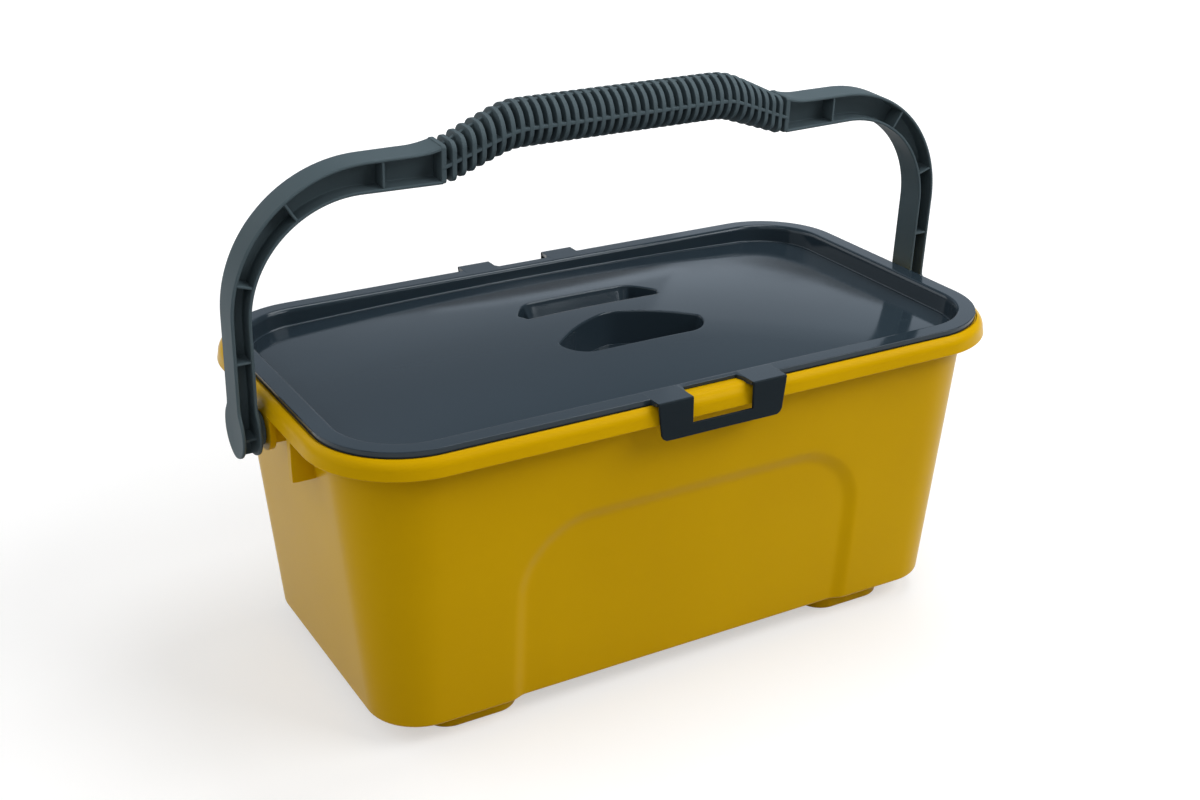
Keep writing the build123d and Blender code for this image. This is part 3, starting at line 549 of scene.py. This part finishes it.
def pocket_half(edge_points, under_points, middle, edges, crisp, outward):
    """Half of the crowned panel with its finger pocket, top and underside.

    Rays run from the half's edge towards the pocket's middle. The top goes along each ray on the
    dome to the mouth, round the mouth, down the wall and over the floor; the underside keeps the
    panel's thickness and goes down the outside of the pocket. The rear pocket's rear wall slopes in
    as it falls, as a ramp for the fingers, and its mouth is rounder at the bridge.
    """
    away = edge_points[:, :2] - middle
    angle = np.arctan2(away[:, 1], away[:, 0])
    reach = pocket_reach(angle, edges, crisp)[:, None]
    rim = middle + unit(away) * reach
    along = unit(np.roll(rim, -1, axis=0) - np.roll(rim, 1, axis=0))
    out = np.stack([along[:, 1], -along[:, 0]], axis=1)
    share = (1.0 - (1.0 - np.linspace(0.0, 1.0, 26)) ** 1.4)[None, :, None]
    rear = outward > 0
    at_bridge = ramp((-out[:, 1] - 0.5) / 0.45) * rear
    mouth = (POCKET_MOUTH + BRIDGE_MOUTH * at_bridge)[:, None]
    from_end = POCKET_RAMP_HALF - np.abs(rim[:, 0])
    on_ramp = (out[:, 1] > 0.6) * ramp(from_end / POCKET_RAMP_END) * rear
    lean = (POCKET_DRAFT + POCKET_RAMP * on_ramp)[:, None]

    def slope(start, stop):
        flat = start[:, None, :2] + share * (stop[:, None] - start[:, None, :2])
        return np.concatenate([flat, crown_height(flat)[..., None]], axis=-1)

    def offset_rows(offsets, heights):
        offsets = np.broadcast_to(offsets, (len(rim), np.shape(offsets)[-1]))
        flat = rim[:, None] + out[:, None] * offsets[..., None]
        heights = np.broadcast_to(heights, flat.shape[:2])
        return np.concatenate([flat, heights[..., None]], axis=-1)

    bend = np.linspace(0.0, np.pi / 2, 7)[1:]
    top = slope(edge_points, rim + mouth * out)
    lip = top[:, -1:, 2]
    brim = offset_rows(mouth * (1.0 - np.sin(bend)), lip - mouth * (1.0 - np.cos(bend)))
    fall = np.linspace(0.1, 1.0, 6)
    foot = POCKET_FLOOR + POCKET_FILLET
    wall = offset_rows(-lean * fall, lip - mouth - fall * (lip - mouth - foot))
    base = offset_rows(-lean - POCKET_FILLET * (1.0 - np.cos(bend)),
                       POCKET_FLOOR + POCKET_FILLET * (1.0 - np.sin(bend)))
    centre = np.array((*middle, POCKET_FLOOR))
    to_centre = np.array((0.4, 0.75, 1.0))[None, :, None]
    inner = base[:, -1:] + (centre - base[:, -1:]) * to_centre
    upper = np.concatenate([top, brim, wall, base, inner], axis=1)
    below = slope(under_points, rim + POCKET_WALL * out) - np.array((0.0, 0.0, LID_THICKNESS))
    skirt_top = below[:, -1:, 2]
    drop = np.linspace(0.2, 1.0, 4)
    cup_low, cup_reach = POCKET_FLOOR - CUP_DROP, POCKET_WALL - POCKET_DRAFT
    cup = offset_rows(POCKET_WALL - POCKET_DRAFT * drop, skirt_top + drop * (cup_low - skirt_top))
    cup_edge = offset_rows(cup_reach - CUP_ROUND * (1.0 - np.cos(bend)),
                           cup_low - CUP_ROUND * np.sin(bend))
    cup_middle = np.array((*middle, cup_low - CUP_ROUND))
    to_middle = np.array((0.5, 1.0))[None, :, None]
    cup_end = cup_edge[:, -1:] + (cup_middle - cup_edge[:, -1:]) * to_middle
    lower = np.concatenate([below, cup, cup_edge, cup_end], axis=1)
    return upper, lower


def lid_shell():
    """Lid: flange, sunken wall and crowned panel with two pockets, one closed wall.

    The flange's profile is carried round the lid from the panel's underside out under the flange,
    round its edge, and back over the inner round and down to the panel. The panel is two halves
    that meet along the bridge.
    """
    run = LID[0] / 2 - LID[2]
    beside = np.array((-0.06, 0.06))
    steps = np.concatenate([[NOTCH_HALF], LATCH_WINDOW + beside, LATCH_HALF + beside])
    fine = np.concatenate([np.arange(0.0, 20.0, 4.0), steps,
                           np.arange(27.0, 48.0, 4.0), np.arange(54.0, 194.0, 4.0)])
    sides = np.unique(np.concatenate([-fine, fine])) / run
    ends = np.sort(np.append(np.linspace(-76.0, 76.0, 39), BRIDGE_Y)) / (LID[1] / 2 - LID[2])
    ends = np.unique(np.round(ends, 9))
    plan = round_plan(ends, sides, 26)
    edge_in, edge_up = lid_edge(plan)
    top_corners = np.array(((6.0, LID_TOP), (LID_FLAT, LID_TOP),
                            (TRAY_INSET, TRAY_Z), (24.0, TRAY_Z + 0.5)))
    top_in, top_up = eased(top_corners, np.array((0.0, 3.4, 1.0, 0.0)), 8)[9:27].T
    tray_under = TRAY_Z - LID_THICKNESS
    under_corners = np.array(((24.0, tray_under + 0.5), (TRAY_INSET - LID_THICKNESS, tray_under),
                              (LID_FLAT - 2.8, LID_LOW), (4.0, LID_LOW)))
    under_in, under_up = eased(under_corners, np.array((0.0, 2.6, 0.6, 0.0)), 5)[6:18].T
    whole = np.ones((plan.shape[1], 1))
    rows_in = np.concatenate([whole * under_in, edge_in, whole * top_in], axis=1)
    rows_up = np.concatenate([whole * under_up, edge_up, whole * top_up], axis=1)
    flange = ring(plan, LID, rows_in, rows_up)
    stretch = (LID_TOP - crown_height(flange[:, -1:])) / (LID_TOP - TRAY_Z)
    top_rows, under_rows = slice(-len(top_in), None), slice(0, len(under_in))
    flange[:, top_rows, 2] = LID_TOP - (LID_TOP - flange[:, top_rows, 2]) * stretch
    flange[:, under_rows, 2] = LID_LOW - (LID_LOW - flange[:, under_rows, 2]) * stretch
    flange[:, -1, 2] = crown_height(flange[:, -1])
    flange[:, 0, 2] = crown_height(flange[:, 0]) - LID_THICKNESS
    edge, under = flange[:, -1], flange[:, 0]
    on_bridge = np.flatnonzero(np.abs(plan[1] * (LID[1] / 2 - LID[2]) - BRIDGE_Y) < 1e-4)
    right, left = on_bridge[0], on_bridge[-1]
    order = np.arange(plan.shape[1])
    front = np.concatenate([order[left:], order[:right + 1]])
    rear = order[right:left + 1]
    inside = np.linspace(-1.0, 1.0, 193)[1:-1, None]

    def bridge(points):
        reach = np.array((points[right, 0], 0.0, 0.0))
        line = inside * reach + np.array((0.0, BRIDGE_Y, 0.0))
        line[:, 2] = crown_height(line)
        return line

    sheets = [(flange, True, False)]
    halves = (
        (front, -1, FRONT_POCKET_MIDDLE, front_pocket_edges(), 130.0),
        (rear, 1, REAR_POCKET_MIDDLE, rear_pocket_edges(), 38.0),
    )
    for half, direction, middle, edges, crisp in halves:
        outline = np.concatenate([edge[half], bridge(edge)[::direction]])
        lower_outline = np.concatenate([under[half], bridge(under)[::direction]])
        upper, lower = pocket_half(outline, lower_outline, middle, edges, crisp, direction)
        sheets += [(upper, True, False), (lower, True, False)]
    return sheets


def latch_frame(side):
    """Latch: a flat bar bent round its open window, with rounded edges.

    The bar's section is carried along the window from the top of one arm, along the lower bar and
    up the other arm. Its width is the distance from the window to the outline, and its thickness
    falls to nothing round the fold at the top of each arm.
    """
    fold = np.linspace(0.0, np.pi / 2, 6)[::-1]
    arm = np.linspace(0.0, 1.0, 12)[1:]
    bar = np.linspace(-1.0, 1.0, 25)[1:-1]
    half = LATCH_THICKNESS / 2
    top = LATCH_AXIS_Z - 0.02
    climb_z = top + half * np.sin(fold)
    inner_x = np.concatenate([np.full(len(fold) + len(arm), -LATCH_WINDOW), bar * LATCH_WINDOW])
    inner_z = np.concatenate([climb_z, top + arm * (LATCH_BAR_TOP - top), LATCH_BAR_TOP + 0.0 * bar])
    round_x, round_z = LATCH_FOOT_HALF - LATCH_CORNER, LATCH_LOW + LATCH_CORNER
    lean = (LATCH_HALF - LATCH_FOOT_HALF) / (top - LATCH_LOW)
    arm_z = np.concatenate([climb_z, top + arm * (round_z - top)])
    straight = 0.8
    turn = np.clip((np.abs(bar) - straight) / (1.0 - straight), 0.0, 1.0) * np.pi / 2
    bar_x = np.where(np.abs(bar) < straight, np.abs(bar) / straight * round_x,
                     round_x + LATCH_CORNER * np.sin(turn))
    bar_z = LATCH_LOW + LATCH_CORNER * (1.0 - np.cos(turn))
    outer_x = np.concatenate([-LATCH_HALF + lean * (top - arm_z), np.sign(bar) * bar_x])
    outer_z = np.concatenate([arm_z, bar_z])
    inner = np.stack([inner_x, inner_z], axis=1)
    outer = np.stack([outer_x, outer_z], axis=1)
    mirrored = np.array((-1.0, 1.0))
    climb = slice(len(fold) + len(arm) - 1, None, -1)
    inner = np.concatenate([inner, inner[climb] * mirrored])
    outer = np.concatenate([outer, outer[climb] * mirrored])
    thick = np.concatenate([half * np.cos(fold), np.full(len(arm) + len(bar), half)])
    thick = np.concatenate([thick, thick[climb]])
    width = np.linalg.norm(outer - inner, axis=1)
    toward = unit(outer - inner)
    zero = 0.0 * width
    corners = section_corners((zero, -thick), (width, -thick), (width, thick), (zero, thick))
    section = eased(corners, np.minimum(LATCH_EDGE, 0.9 * thick + 1e-4)[:, None], 4)
    flat = inner[:, None] + toward[:, None] * section[..., :1]
    y = side * (LATCH_AXIS_Y + section[..., 1])
    frame_bar = np.stack([flat[..., 0], y, flat[..., 1]], axis=-1)
    hook_middle = (0.0, side * (LATCH_AXIS_Y - half - HOOK_OUT), LATCH_BAR_TOP - HOOK_DOWN)
    hook_size = (2 * (LATCH_FOOT_HALF - HOOK_FROM_END), HOOK_DEEP, HOOK_TALL)
    hook = block(hook_middle, np.eye(3), hook_size, HOOK_EDGE)
    return [(capped(frame_bar), False, True), (hook, True, False)]


# Handle

def raised(points):
    """Handle point set on the pivots and tilted forward about them."""
    y, z = points[..., 1].copy(), points[..., 2].copy()
    tilted = points.copy()
    tilted[..., 1] = y * math.cos(HANDLE_TILT) - z * math.sin(HANDLE_TILT)
    tilted[..., 2] = PIVOT_Z + y * math.sin(HANDLE_TILT) + z * math.cos(HANDLE_TILT)
    return tilted


def arm_lines():
    """Inner and outer line of the right arm in XZ, matched point by point.

    Both climb from the pad's lowest point, turn through a quarter circle about their own centres
    and run level to the grip, where the outer line sweeps up a little.
    """
    drop = -PAD_RADIUS * np.cos(np.linspace(0.0, np.pi / 2, 15)[:-1])
    climb = np.linspace(0.0, 1.0, 30)[:-1]
    bend = np.linspace(0.0, np.pi / 2, 36)
    level = np.linspace(0.0, 1.0, 18)[1:]
    stop = GRIP_END + 1.0
    in_level = BEND_INNER_MIDDLE[0] + level * (stop - BEND_INNER_MIDDLE[0])
    out_level = BEND_OUTER_MIDDLE[0] + level * (stop - BEND_OUTER_MIDDLE[0])
    sweep = np.maximum((GRIP_END + ARM_END_RUN - out_level) / ARM_END_RUN, 0.0) ** 2

    def line(upright_x, middle, radius, level_x, level_z):
        upright = np.full(len(drop) + len(climb), upright_x)
        x = np.concatenate([upright, middle[0] + radius * np.cos(bend), level_x])
        z = np.concatenate([drop, climb * middle[1], middle[1] + radius * np.sin(bend), level_z])
        return np.stack([x, z], axis=1)

    inner = line(ARM_INNER, BEND_INNER_MIDDLE, BEND_INNER, in_level, ARM_UNDER - ARM_END_DROP * level)
    outer = line(ARM_OUTER, BEND_OUTER_MIDDLE, BEND_OUTER, out_level, ARM_RISE + ARM_END_RISE * sweep)
    return inner, outer


def flange_half(height):
    """Half depth of the flanges: the pad's circle at the pivot, blended into the straight arm."""
    circle = np.sqrt(np.maximum(PAD_RADIUS ** 2 - np.minimum(height, PAD_RADIUS) ** 2, 0.0))
    straight = ARM_HALF * ramp((height - PAD_BLEND_LOW) / PAD_BLEND)
    power = 6.0
    blended = (circle ** power + straight ** power) ** (1.0 / power)
    return np.maximum(np.minimum(blended, PAD_RADIUS), 0.05)


def rounded_plate(x, thickness, height, deep, tall, corner, edge):
    """Upright plate across the handle: a slab with its thickness along X."""
    plate = slab((2 * deep, 2 * tall, corner), thickness, edge, 4, 9)
    return np.stack([x + plate[..., 2], plate[..., 0], height + plate[..., 1]], axis=-1)


def handle_arm(side):
    """Handle arm: an I section carried between its two lines, with cross ribs, end plate and stud.

    The section has two flanges joined by a web behind their middle, its edges rounded and its roots
    eased. Across the arm a point lies on the line from the inner to the outer curve.
    """
    inner, outer = arm_lines()
    thick = np.linalg.norm(outer - inner, axis=1)
    across = unit(outer - inner)
    on_upright = inner[:, 0] > ARM_INNER - 0.5
    half = np.where(on_upright, flange_half(inner[:, 1]), ARM_HALF)
    web_back = np.minimum(ARM_WEB_BACK, 0.3 * half)
    web_low, web_high = (web_back + way * np.minimum(ARM_WEB / 2, 0.5 * half) for way in (-1, 1))
    zero = 0.0 * half
    near, far = zero + ARM_FLANGE, thick - ARM_FLANGE
    corners = section_corners(
        (zero, -half), (zero, half), (near, half), (near, web_high), (far, web_high), (far, half),
        (thick, half), (thick, -half), (far, -half), (far, web_low), (near, web_low), (near, -half),
    )
    radii = np.array((1.1, 1.1, 0.9, 1.0, 1.0, 0.9, 1.1, 1.1, 0.9, 1.0, 1.0, 0.9))
    near_grip = ramp((GRIP_END + ARM_EASE_START - outer[:, :1]) / ARM_EASE_RUN)
    radii = radii + ARM_EASE * near_grip * np.isin(np.arange(12), (6, 7))
    radii = np.minimum(radii, 0.22 * half[:, None] + 0.001)
    section = eased(corners, radii, 4)
    flat = inner[:, None] + across[:, None] * section[..., :1]
    beam = np.stack([flat[..., 0], section[..., 1], flat[..., 1]], axis=-1)
    sheets = [(capped(beam), False, True)]
    spokes = [((ARM_INNER, height), (ARM_OUTER, height)) for height in ARM_RIB_HEIGHTS]
    beside_grip = GRIP_END + ARM_RIB_FROM_GRIP
    spokes.append(((beside_grip, ARM_UNDER), (beside_grip, ARM_RISE)))
    shift = BEND_INNER_MIDDLE - BEND_OUTER_MIDDLE
    for angle in np.radians(ARM_RIB_ANGLES):
        way = np.array((math.cos(angle), math.sin(angle)))
        reach = -shift @ way + math.sqrt((shift @ way) ** 2 - shift @ shift + BEND_OUTER ** 2)
        spokes.append((BEND_INNER_MIDDLE + BEND_INNER * way, BEND_INNER_MIDDLE + reach * way))
    into_web = ARM_WEB / 2 - 0.3
    rib_runs = ((-ARM_RIB_HALF, ARM_WEB_BACK - into_web), (ARM_WEB_BACK + into_web, ARM_RIB_HALF))
    for start, stop in np.asarray(spokes):
        over = unit(stop - start)
        length = np.linalg.norm(stop - start) - 2 * ARM_FLANGE + 0.8
        axes = np.array(((over[0], 0.0, over[1]), (-over[1], 0.0, over[0]), (0.0, 1.0, 0.0)))
        middle = (start + stop) / 2
        for start_y, stop_y in rib_runs:
            rib_middle = (middle[0], (start_y + stop_y) / 2, middle[1])
            rib = block(rib_middle, axes, (length, ARM_RIB, stop_y - start_y), ARM_RIB_EDGE)
            sheets.append((rib, True, False))
    plate_low, plate_high = ARM_UNDER - ARM_END_DROP, ARM_RISE + ARM_END_RISE
    plate = rounded_plate(GRIP_END + 0.3, ARM_PLATE, (plate_low + plate_high) / 2, ARM_HALF,
                          (plate_high - plate_low) / 2, ARM_PLATE_CORNER, ARM_PLATE_EDGE)
    sheets.append((plate, True, False))
    shoulder = [(0.0, 264.6), (11.6, 264.6), (12.0, 265.0), (12.0, 269.4), (0.0, 269.4)]
    stud = [(0.0, 256.4), (9.0, 256.4), (9.6, 257.0), (9.6, 259.3),
            (7.93, 259.4), (7.93, 264.8), (0.0, 264.8)]
    sheets += [(turned(profile, 40), True, False) for profile in (shoulder, stud)]
    placed = []
    for grid, wrap_u, wrap_v in sheets:
        grid = raised(grid)
        grid[..., 0] *= side
        placed.append((grid, wrap_u, wrap_v))
    return placed


def grip_section(x):
    """Centre height, half height, half depth and corner of the grip along it.

    The grip is level in the middle and falls past a soft knee, and its round section squares off
    towards the arms in proportion to the distance.
    """
    away = np.abs(x)
    knee = np.log1p(np.exp((away - GRIP_KNEE) / GRIP_KNEE_SOFTNESS))
    height = GRIP_RISE - GRIP_SLOPE * GRIP_KNEE_SOFTNESS * knee
    share = np.clip((away - GRIP_SQUARE_START) / (GRIP_END - GRIP_SQUARE_START), 0.0, 1.0)
    ends = (GRIP_END_TALL, GRIP_END_DEEP, GRIP_END_CORNER)
    tall, deep, corner = (GRIP_RADIUS + (end - GRIP_RADIUS) * share for end in ends)
    return height, tall, deep, corner


def grip_plates():
    """Plates of the grip, one every pitch along it, each with the grip's section at its place."""
    places = RIB_PITCH * (np.arange(RIB_COUNT) - (RIB_COUNT - 1) / 2)
    return [
        (raised(rounded_plate(x, RIB_THICKNESS, height, deep, tall, corner, RIB_EDGE)), True, False)
        for x, height, tall, deep, corner in zip(places, *grip_section(places))
    ]


def grip_core():
    """Upright web and level spine through the plates: rounded bars carried along the grip."""
    x = np.linspace(-GRIP_END - 1.0, GRIP_END + 1.0, 121)
    height, tall, deep, _ = grip_section(x)
    web = (0.0 * x + GRIP_WEB_HALF, tall - GRIP_WEB_STEP)
    spine = (deep - GRIP_SPINE_STEP, 0.0 * x + GRIP_SPINE_HALF)
    sheets = []
    for half_y, half_z in (web, spine):
        signs = ((-1, -1), (1, -1), (1, 1), (-1, 1))
        corners = section_corners(*((y * half_y, z * half_z) for y, z in signs))
        section = eased(corners, GRIP_CORE_EDGE, 4)
        along = x[:, None] + 0.0 * section[..., 0]
        bar = np.stack([along, section[..., 0], height[:, None] + section[..., 1]], axis=-1)
        sheets.append((raised(capped(bar)), False, True))
    return sheets


def ejector_marks():
    """Small round marks along the front of the spine, one every fifth plate: low turned buttons."""
    places = MARK_EVERY * RIB_PITCH * np.arange(-3, 4)
    profile = [(0.0, 0.35), (1.1, 0.35), (1.6, 0.1), (1.7, -0.8), (0.0, -0.8)]
    button = turned(profile, 20)
    reach, across, up = (button[..., k] for k in range(3))
    heights, _, depths, _ = grip_section(places)
    return [
        (raised(np.stack([x + across, MARK_SUNK - deep - reach, height + up], axis=-1)), True, False)
        for x, height, deep in zip(places, heights, depths)
    ]


# Pieces of the bucket

skin = moulded_skin_group()
tub_yellow = plastic(
    "tub_yellow_plastic", skin, grain_size=0.0007,
    dark=(0.60, 0.345, 0.0004), light=(0.65, 0.382, 0.0006),
    polish=(0.29, 0.31), bump=(0.05, 0.0002), specular=0.065, tint=(1.0, 0.85, 0.3))
lid_slate = plastic(
    "lid_slate_plastic", skin, grain_size=0.0005,
    dark=(0.020, 0.032, 0.043), light=(0.023, 0.036, 0.048),
    polish=(0.07, 0.11), bump=(0.03, 0.0002), specular=0.3, tint=(0.85, 0.93, 1.0))
# The latch is the lid's slate plastic. Its darker base colours are painted shade for its dim front
# faces; its rougher, less glossy finish is its own.
latch_painted_shade_slate = plastic(
    "latch_painted_shade_slate_plastic", skin, grain_size=0.0005,
    dark=(0.012, 0.018, 0.023), light=(0.014, 0.021, 0.026),
    polish=(0.36, 0.44), bump=(0.05, 0.0002), specular=0.045, tint=(0.85, 0.93, 1.0))
handle_grey = plastic(
    "handle_grey_plastic", skin, grain_size=0.0008,
    dark=(0.068, 0.0955, 0.1085), light=(0.078, 0.109, 0.124),
    polish=(0.48, 0.58), bump=(0.10, 0.0003), specular=0.09, tint=(0.9, 0.97, 1.0))

moulding("tub_shell", [(tub_shell(), True, False)], "tub_body", tub_yellow, ["tub"])
rim_sheets = [(gusset(end, side), True, False) for end in (-1, 1) for side in (-1, 1)]
rim_sheets.insert(0, (rim_band(), True, True))
moulding("rim_band", rim_sheets, "tub_body", tub_yellow, ["rim"])
for side, toward_y in SIDES:
    for end, toward_x in ENDS:
        place = side + "_" + end
        pad = [(foot_pad(toward_x * FOOT_X, toward_y * FOOT_Y), True, False)]
        moulding("foot_pad_" + place, pad, "tub_body", tub_yellow, ["foot_" + place])
lid_nodes = ["lid_flange", "lid_panel", "front_finger_pocket", "rear_finger_pocket"]
moulding("lid_shell", lid_shell(), "lid_body", lid_slate, lid_nodes)
for side, way in SIDES:
    moulding(side + "_latch_frame", latch_frame(way),
             side + "_latch_body", latch_painted_shade_slate, [side + "_latch"])
for end, way in ENDS:
    moulding(end + "_arm_beam", handle_arm(way),
             "handle_body", handle_grey, ["handle_" + end + "_arm"])
moulding("grip_plates", grip_plates(), "handle_body", handle_grey, ["handle_grip"])
moulding("grip_core", grip_core() + ejector_marks(),
         "handle_body", handle_grey, ["handle_grip"])
for bracket in ("left_pivot_bracket", "right_pivot_bracket"):
    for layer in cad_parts[bracket].material_slots:
        layer.material = tub_yellow


# Studio

WHITE = (1.0, 1.0, 1.0, 1.0)


def combined(tree, operation, first, second):
    """Two values put together by one operation, such as MAXIMUM or MULTIPLY."""
    node = tree.nodes.new("ShaderNodeMath")
    node.operation = operation
    tree.links.new(first, node.inputs[0])
    tree.links.new(second, node.inputs[1])
    return node.outputs["Value"]


def background_rays(tree):
    """1 for camera rays, and 1 for the glossy and transmission rays that show the background too."""
    path = tree.nodes.new("ShaderNodeLightPath").outputs
    mirrored = combined(tree, "MAXIMUM", path["Is Glossy Ray"], path["Is Transmission Ray"])
    return path["Is Camera Ray"], mirrored


def studio_floor():
    """Pale floor with the bucket's soft shadow, going over to white away from the bucket."""
    mesh = bpy.data.meshes.new("studio_floor")
    corners = [(-6.0, -6.0, 0.0), (6.0, -6.0, 0.0), (6.0, 6.0, 0.0), (-6.0, 6.0, 0.0)]
    mesh.from_pydata(corners, [], [(0, 1, 2, 3)])
    floor = bpy.data.objects.new("studio_floor", mesh)
    bpy.context.scene.collection.objects.link(floor)
    material, tree, shader = new_finish("studio_paper")
    fill(shader, {"Base Color": (0.55, 0.55, 0.55, 1.0), "Roughness": 0.9,
                  "Specular IOR Level": 0.0, "Emission Color": WHITE})
    away = tree.nodes.new("ShaderNodeVectorMath")
    away.operation = "LENGTH"
    tree.links.new(tree.nodes.new("ShaderNodeTexCoord").outputs["Object"], away.inputs[0])
    near, far = 0.45, 2.1
    glow = spread(tree, away.outputs["Value"], near, far, 0.5, 1.0)
    seen = combined(tree, "MAXIMUM", *background_rays(tree))
    tree.links.new(combined(tree, "MULTIPLY", seen, glow), shader.inputs["Emission Strength"])
    mesh.materials.append(material)


def studio_world(level):
    """Even soft light from above, and white behind the bucket, where the floor's paper goes on.

    Camera rays see white all round, and reflections see it up to the horizon.
    """
    world = bpy.data.worlds.new("studio_world")
    bpy.context.scene.world = world
    world.use_nodes = True
    tree = world.node_tree
    light = tree.nodes["Background"]
    white = tree.nodes.new("ShaderNodeBackground")
    fill(light, {"Color": WHITE, "Strength": level})
    fill(white, {"Color": WHITE, "Strength": 1.0})
    around = tree.nodes.new("ShaderNodeTexCoord").outputs["Generated"]
    direction = tree.nodes.new("ShaderNodeSeparateXYZ")
    tree.links.new(around, direction.inputs["Vector"])
    low = spread(tree, direction.outputs["Z"], 0.01, 0.05, 1.0, 0.0)
    mix = tree.nodes.new("ShaderNodeMixShader")
    seen, mirrored = background_rays(tree)
    share = combined(tree, "MAXIMUM", seen, combined(tree, "MULTIPLY", mirrored, low))
    tree.links.new(share, mix.inputs["Fac"])
    tree.links.new(light.outputs["Background"], mix.inputs[1])
    tree.links.new(white.outputs["Background"], mix.inputs[2])
    tree.links.new(mix.outputs["Shader"], tree.nodes["World Output"].inputs["Surface"])


def soft_box(name, place, aim, size, watts):
    """Rectangular soft lamp aimed at a point."""
    lamp = bpy.data.lights.new(name, "AREA")
    lamp.shape = "RECTANGLE"
    lamp.size, lamp.size_y = size
    lamp.energy = watts
    box = bpy.data.objects.new(name, lamp)
    box.location = place
    box.rotation_euler = (Vector(aim) - Vector(place)).to_track_quat("-Z", "Y").to_euler()
    box.visible_camera = False
    bpy.context.scene.collection.objects.link(box)


def directions(angles):
    """Unit vectors towards azimuths, from Y round to X, and elevations in degrees."""
    turn, lift = np.radians(np.array(angles, float)).T
    level = np.cos(lift)
    return np.stack((np.sin(turn) * level, np.cos(turn) * level, np.sin(lift)), axis=1)


def rear_panel(name, reach, level, corners):
    """Dim cool panel behind the bucket for the lid's sheen, cut to a shape.

    Each corner is an azimuth and an elevation seen from the lid's middle, carried out to the plane
    that lies across the panels' middle direction at the panel's reach.
    """
    lid_middle = np.array((0.0, 0.0, 0.23))
    panels_middle = (28.0, 22.0)
    ways, across = directions(corners), directions([panels_middle])[0]
    points = lid_middle + reach * ways / (ways @ across)[:, None]
    mesh = bpy.data.meshes.new(name)
    mesh.from_pydata(points.tolist(), [], [tuple(range(len(points)))])
    material, _, shader = new_finish(name + "_paper")
    fill(shader, {"Base Color": (0.0, 0.0, 0.0, 1.0), "Specular IOR Level": 0.0,
                  "Emission Color": (0.78, 0.88, 1.0, 1.0), "Emission Strength": level})
    mesh.materials.append(material)
    panel = bpy.data.objects.new(name, mesh)
    panel.visible_camera = panel.visible_shadow = False
    bpy.context.scene.collection.objects.link(panel)


studio_floor()
studio_world(0.15)
soft_box("overhead_box", (0.6, 0.1, 1.9), (0.0, 0.0, 0.2), (0.9, 0.8), 14.0)
soft_box("right_front_box", (1.6, -1.5, 1.9), (0.0, 0.0, 0.12), (1.8, 1.4), 45.0)
soft_box("left_front_box", (-1.0, -1.3, 2.0), (-0.1, 0.0, 0.15), (2.0, 1.6), 12.0)
soft_box("left_box", (-2.3, 0.4, 1.2), (-0.1, 0.0, 0.12), (2.2, 1.8), 14.0)
soft_box("rear_left_box", (-1.5, 1.9, 1.5), (0.0, 0.1, 0.12), (1.6, 1.4), 12.0)
# Lower edges of the panels behind, as azimuth and elevation
RIGHT_FOOT = [(53.0, 17.0), (48.0, 13.6), (44.0, 11.2), (40.0, 9.6), (36.0, 7.2), (33.5, 6.7)]
LEFT_FOOT = [(30.0, 8.0), (26.0, 9.8), (22.0, 10.8), (18.0, 11.4),
             (15.0, 12.8), (12.0, 15.6), (9.0, 18.6), (2.0, 24.0)]
STRIP_TOP = [(18.0, 12.6), (22.0, 13.2), (26.0, 12.4), (30.0, 11.2)]
rear_panel("rear_wide_panel", 2.50, 0.55, [(2.0, 44.0), (53.0, 44.0)] + RIGHT_FOOT + LEFT_FOOT)
rear_panel("rear_tall_panel", 2.49, 0.67, [(33.5, 27.5), (53.0, 27.5)] + RIGHT_FOOT)
rear_panel("rear_right_panel", 2.48, 0.80, [(33.5, 24.5), (53.0, 24.5)] + RIGHT_FOOT)
rear_panel("rear_low_strip", 2.47, 0.84, [(33.5, 9.5), (33.5, 6.7)] + LEFT_FOOT[:4] + STRIP_TOP)

camera_data = bpy.data.cameras.new("photo_camera")
camera_data.lens = 49.163
camera_data.sensor_width = 36.0
camera = bpy.data.objects.new("photo_camera", camera_data)
camera.location = (-0.5581, -0.9565, 0.6635)
look = Vector((0.4555, 0.7907, -0.4091)).to_track_quat("-Z", "Y")
camera.rotation_mode = "QUATERNION"
camera.rotation_quaternion = look @ Quaternion((0.0, 0.0, 1.0), math.radians(0.414))
bpy.context.scene.collection.objects.link(camera)
bpy.context.scene.camera = camera
bpy.context.scene.view_settings.view_transform = "Standard"
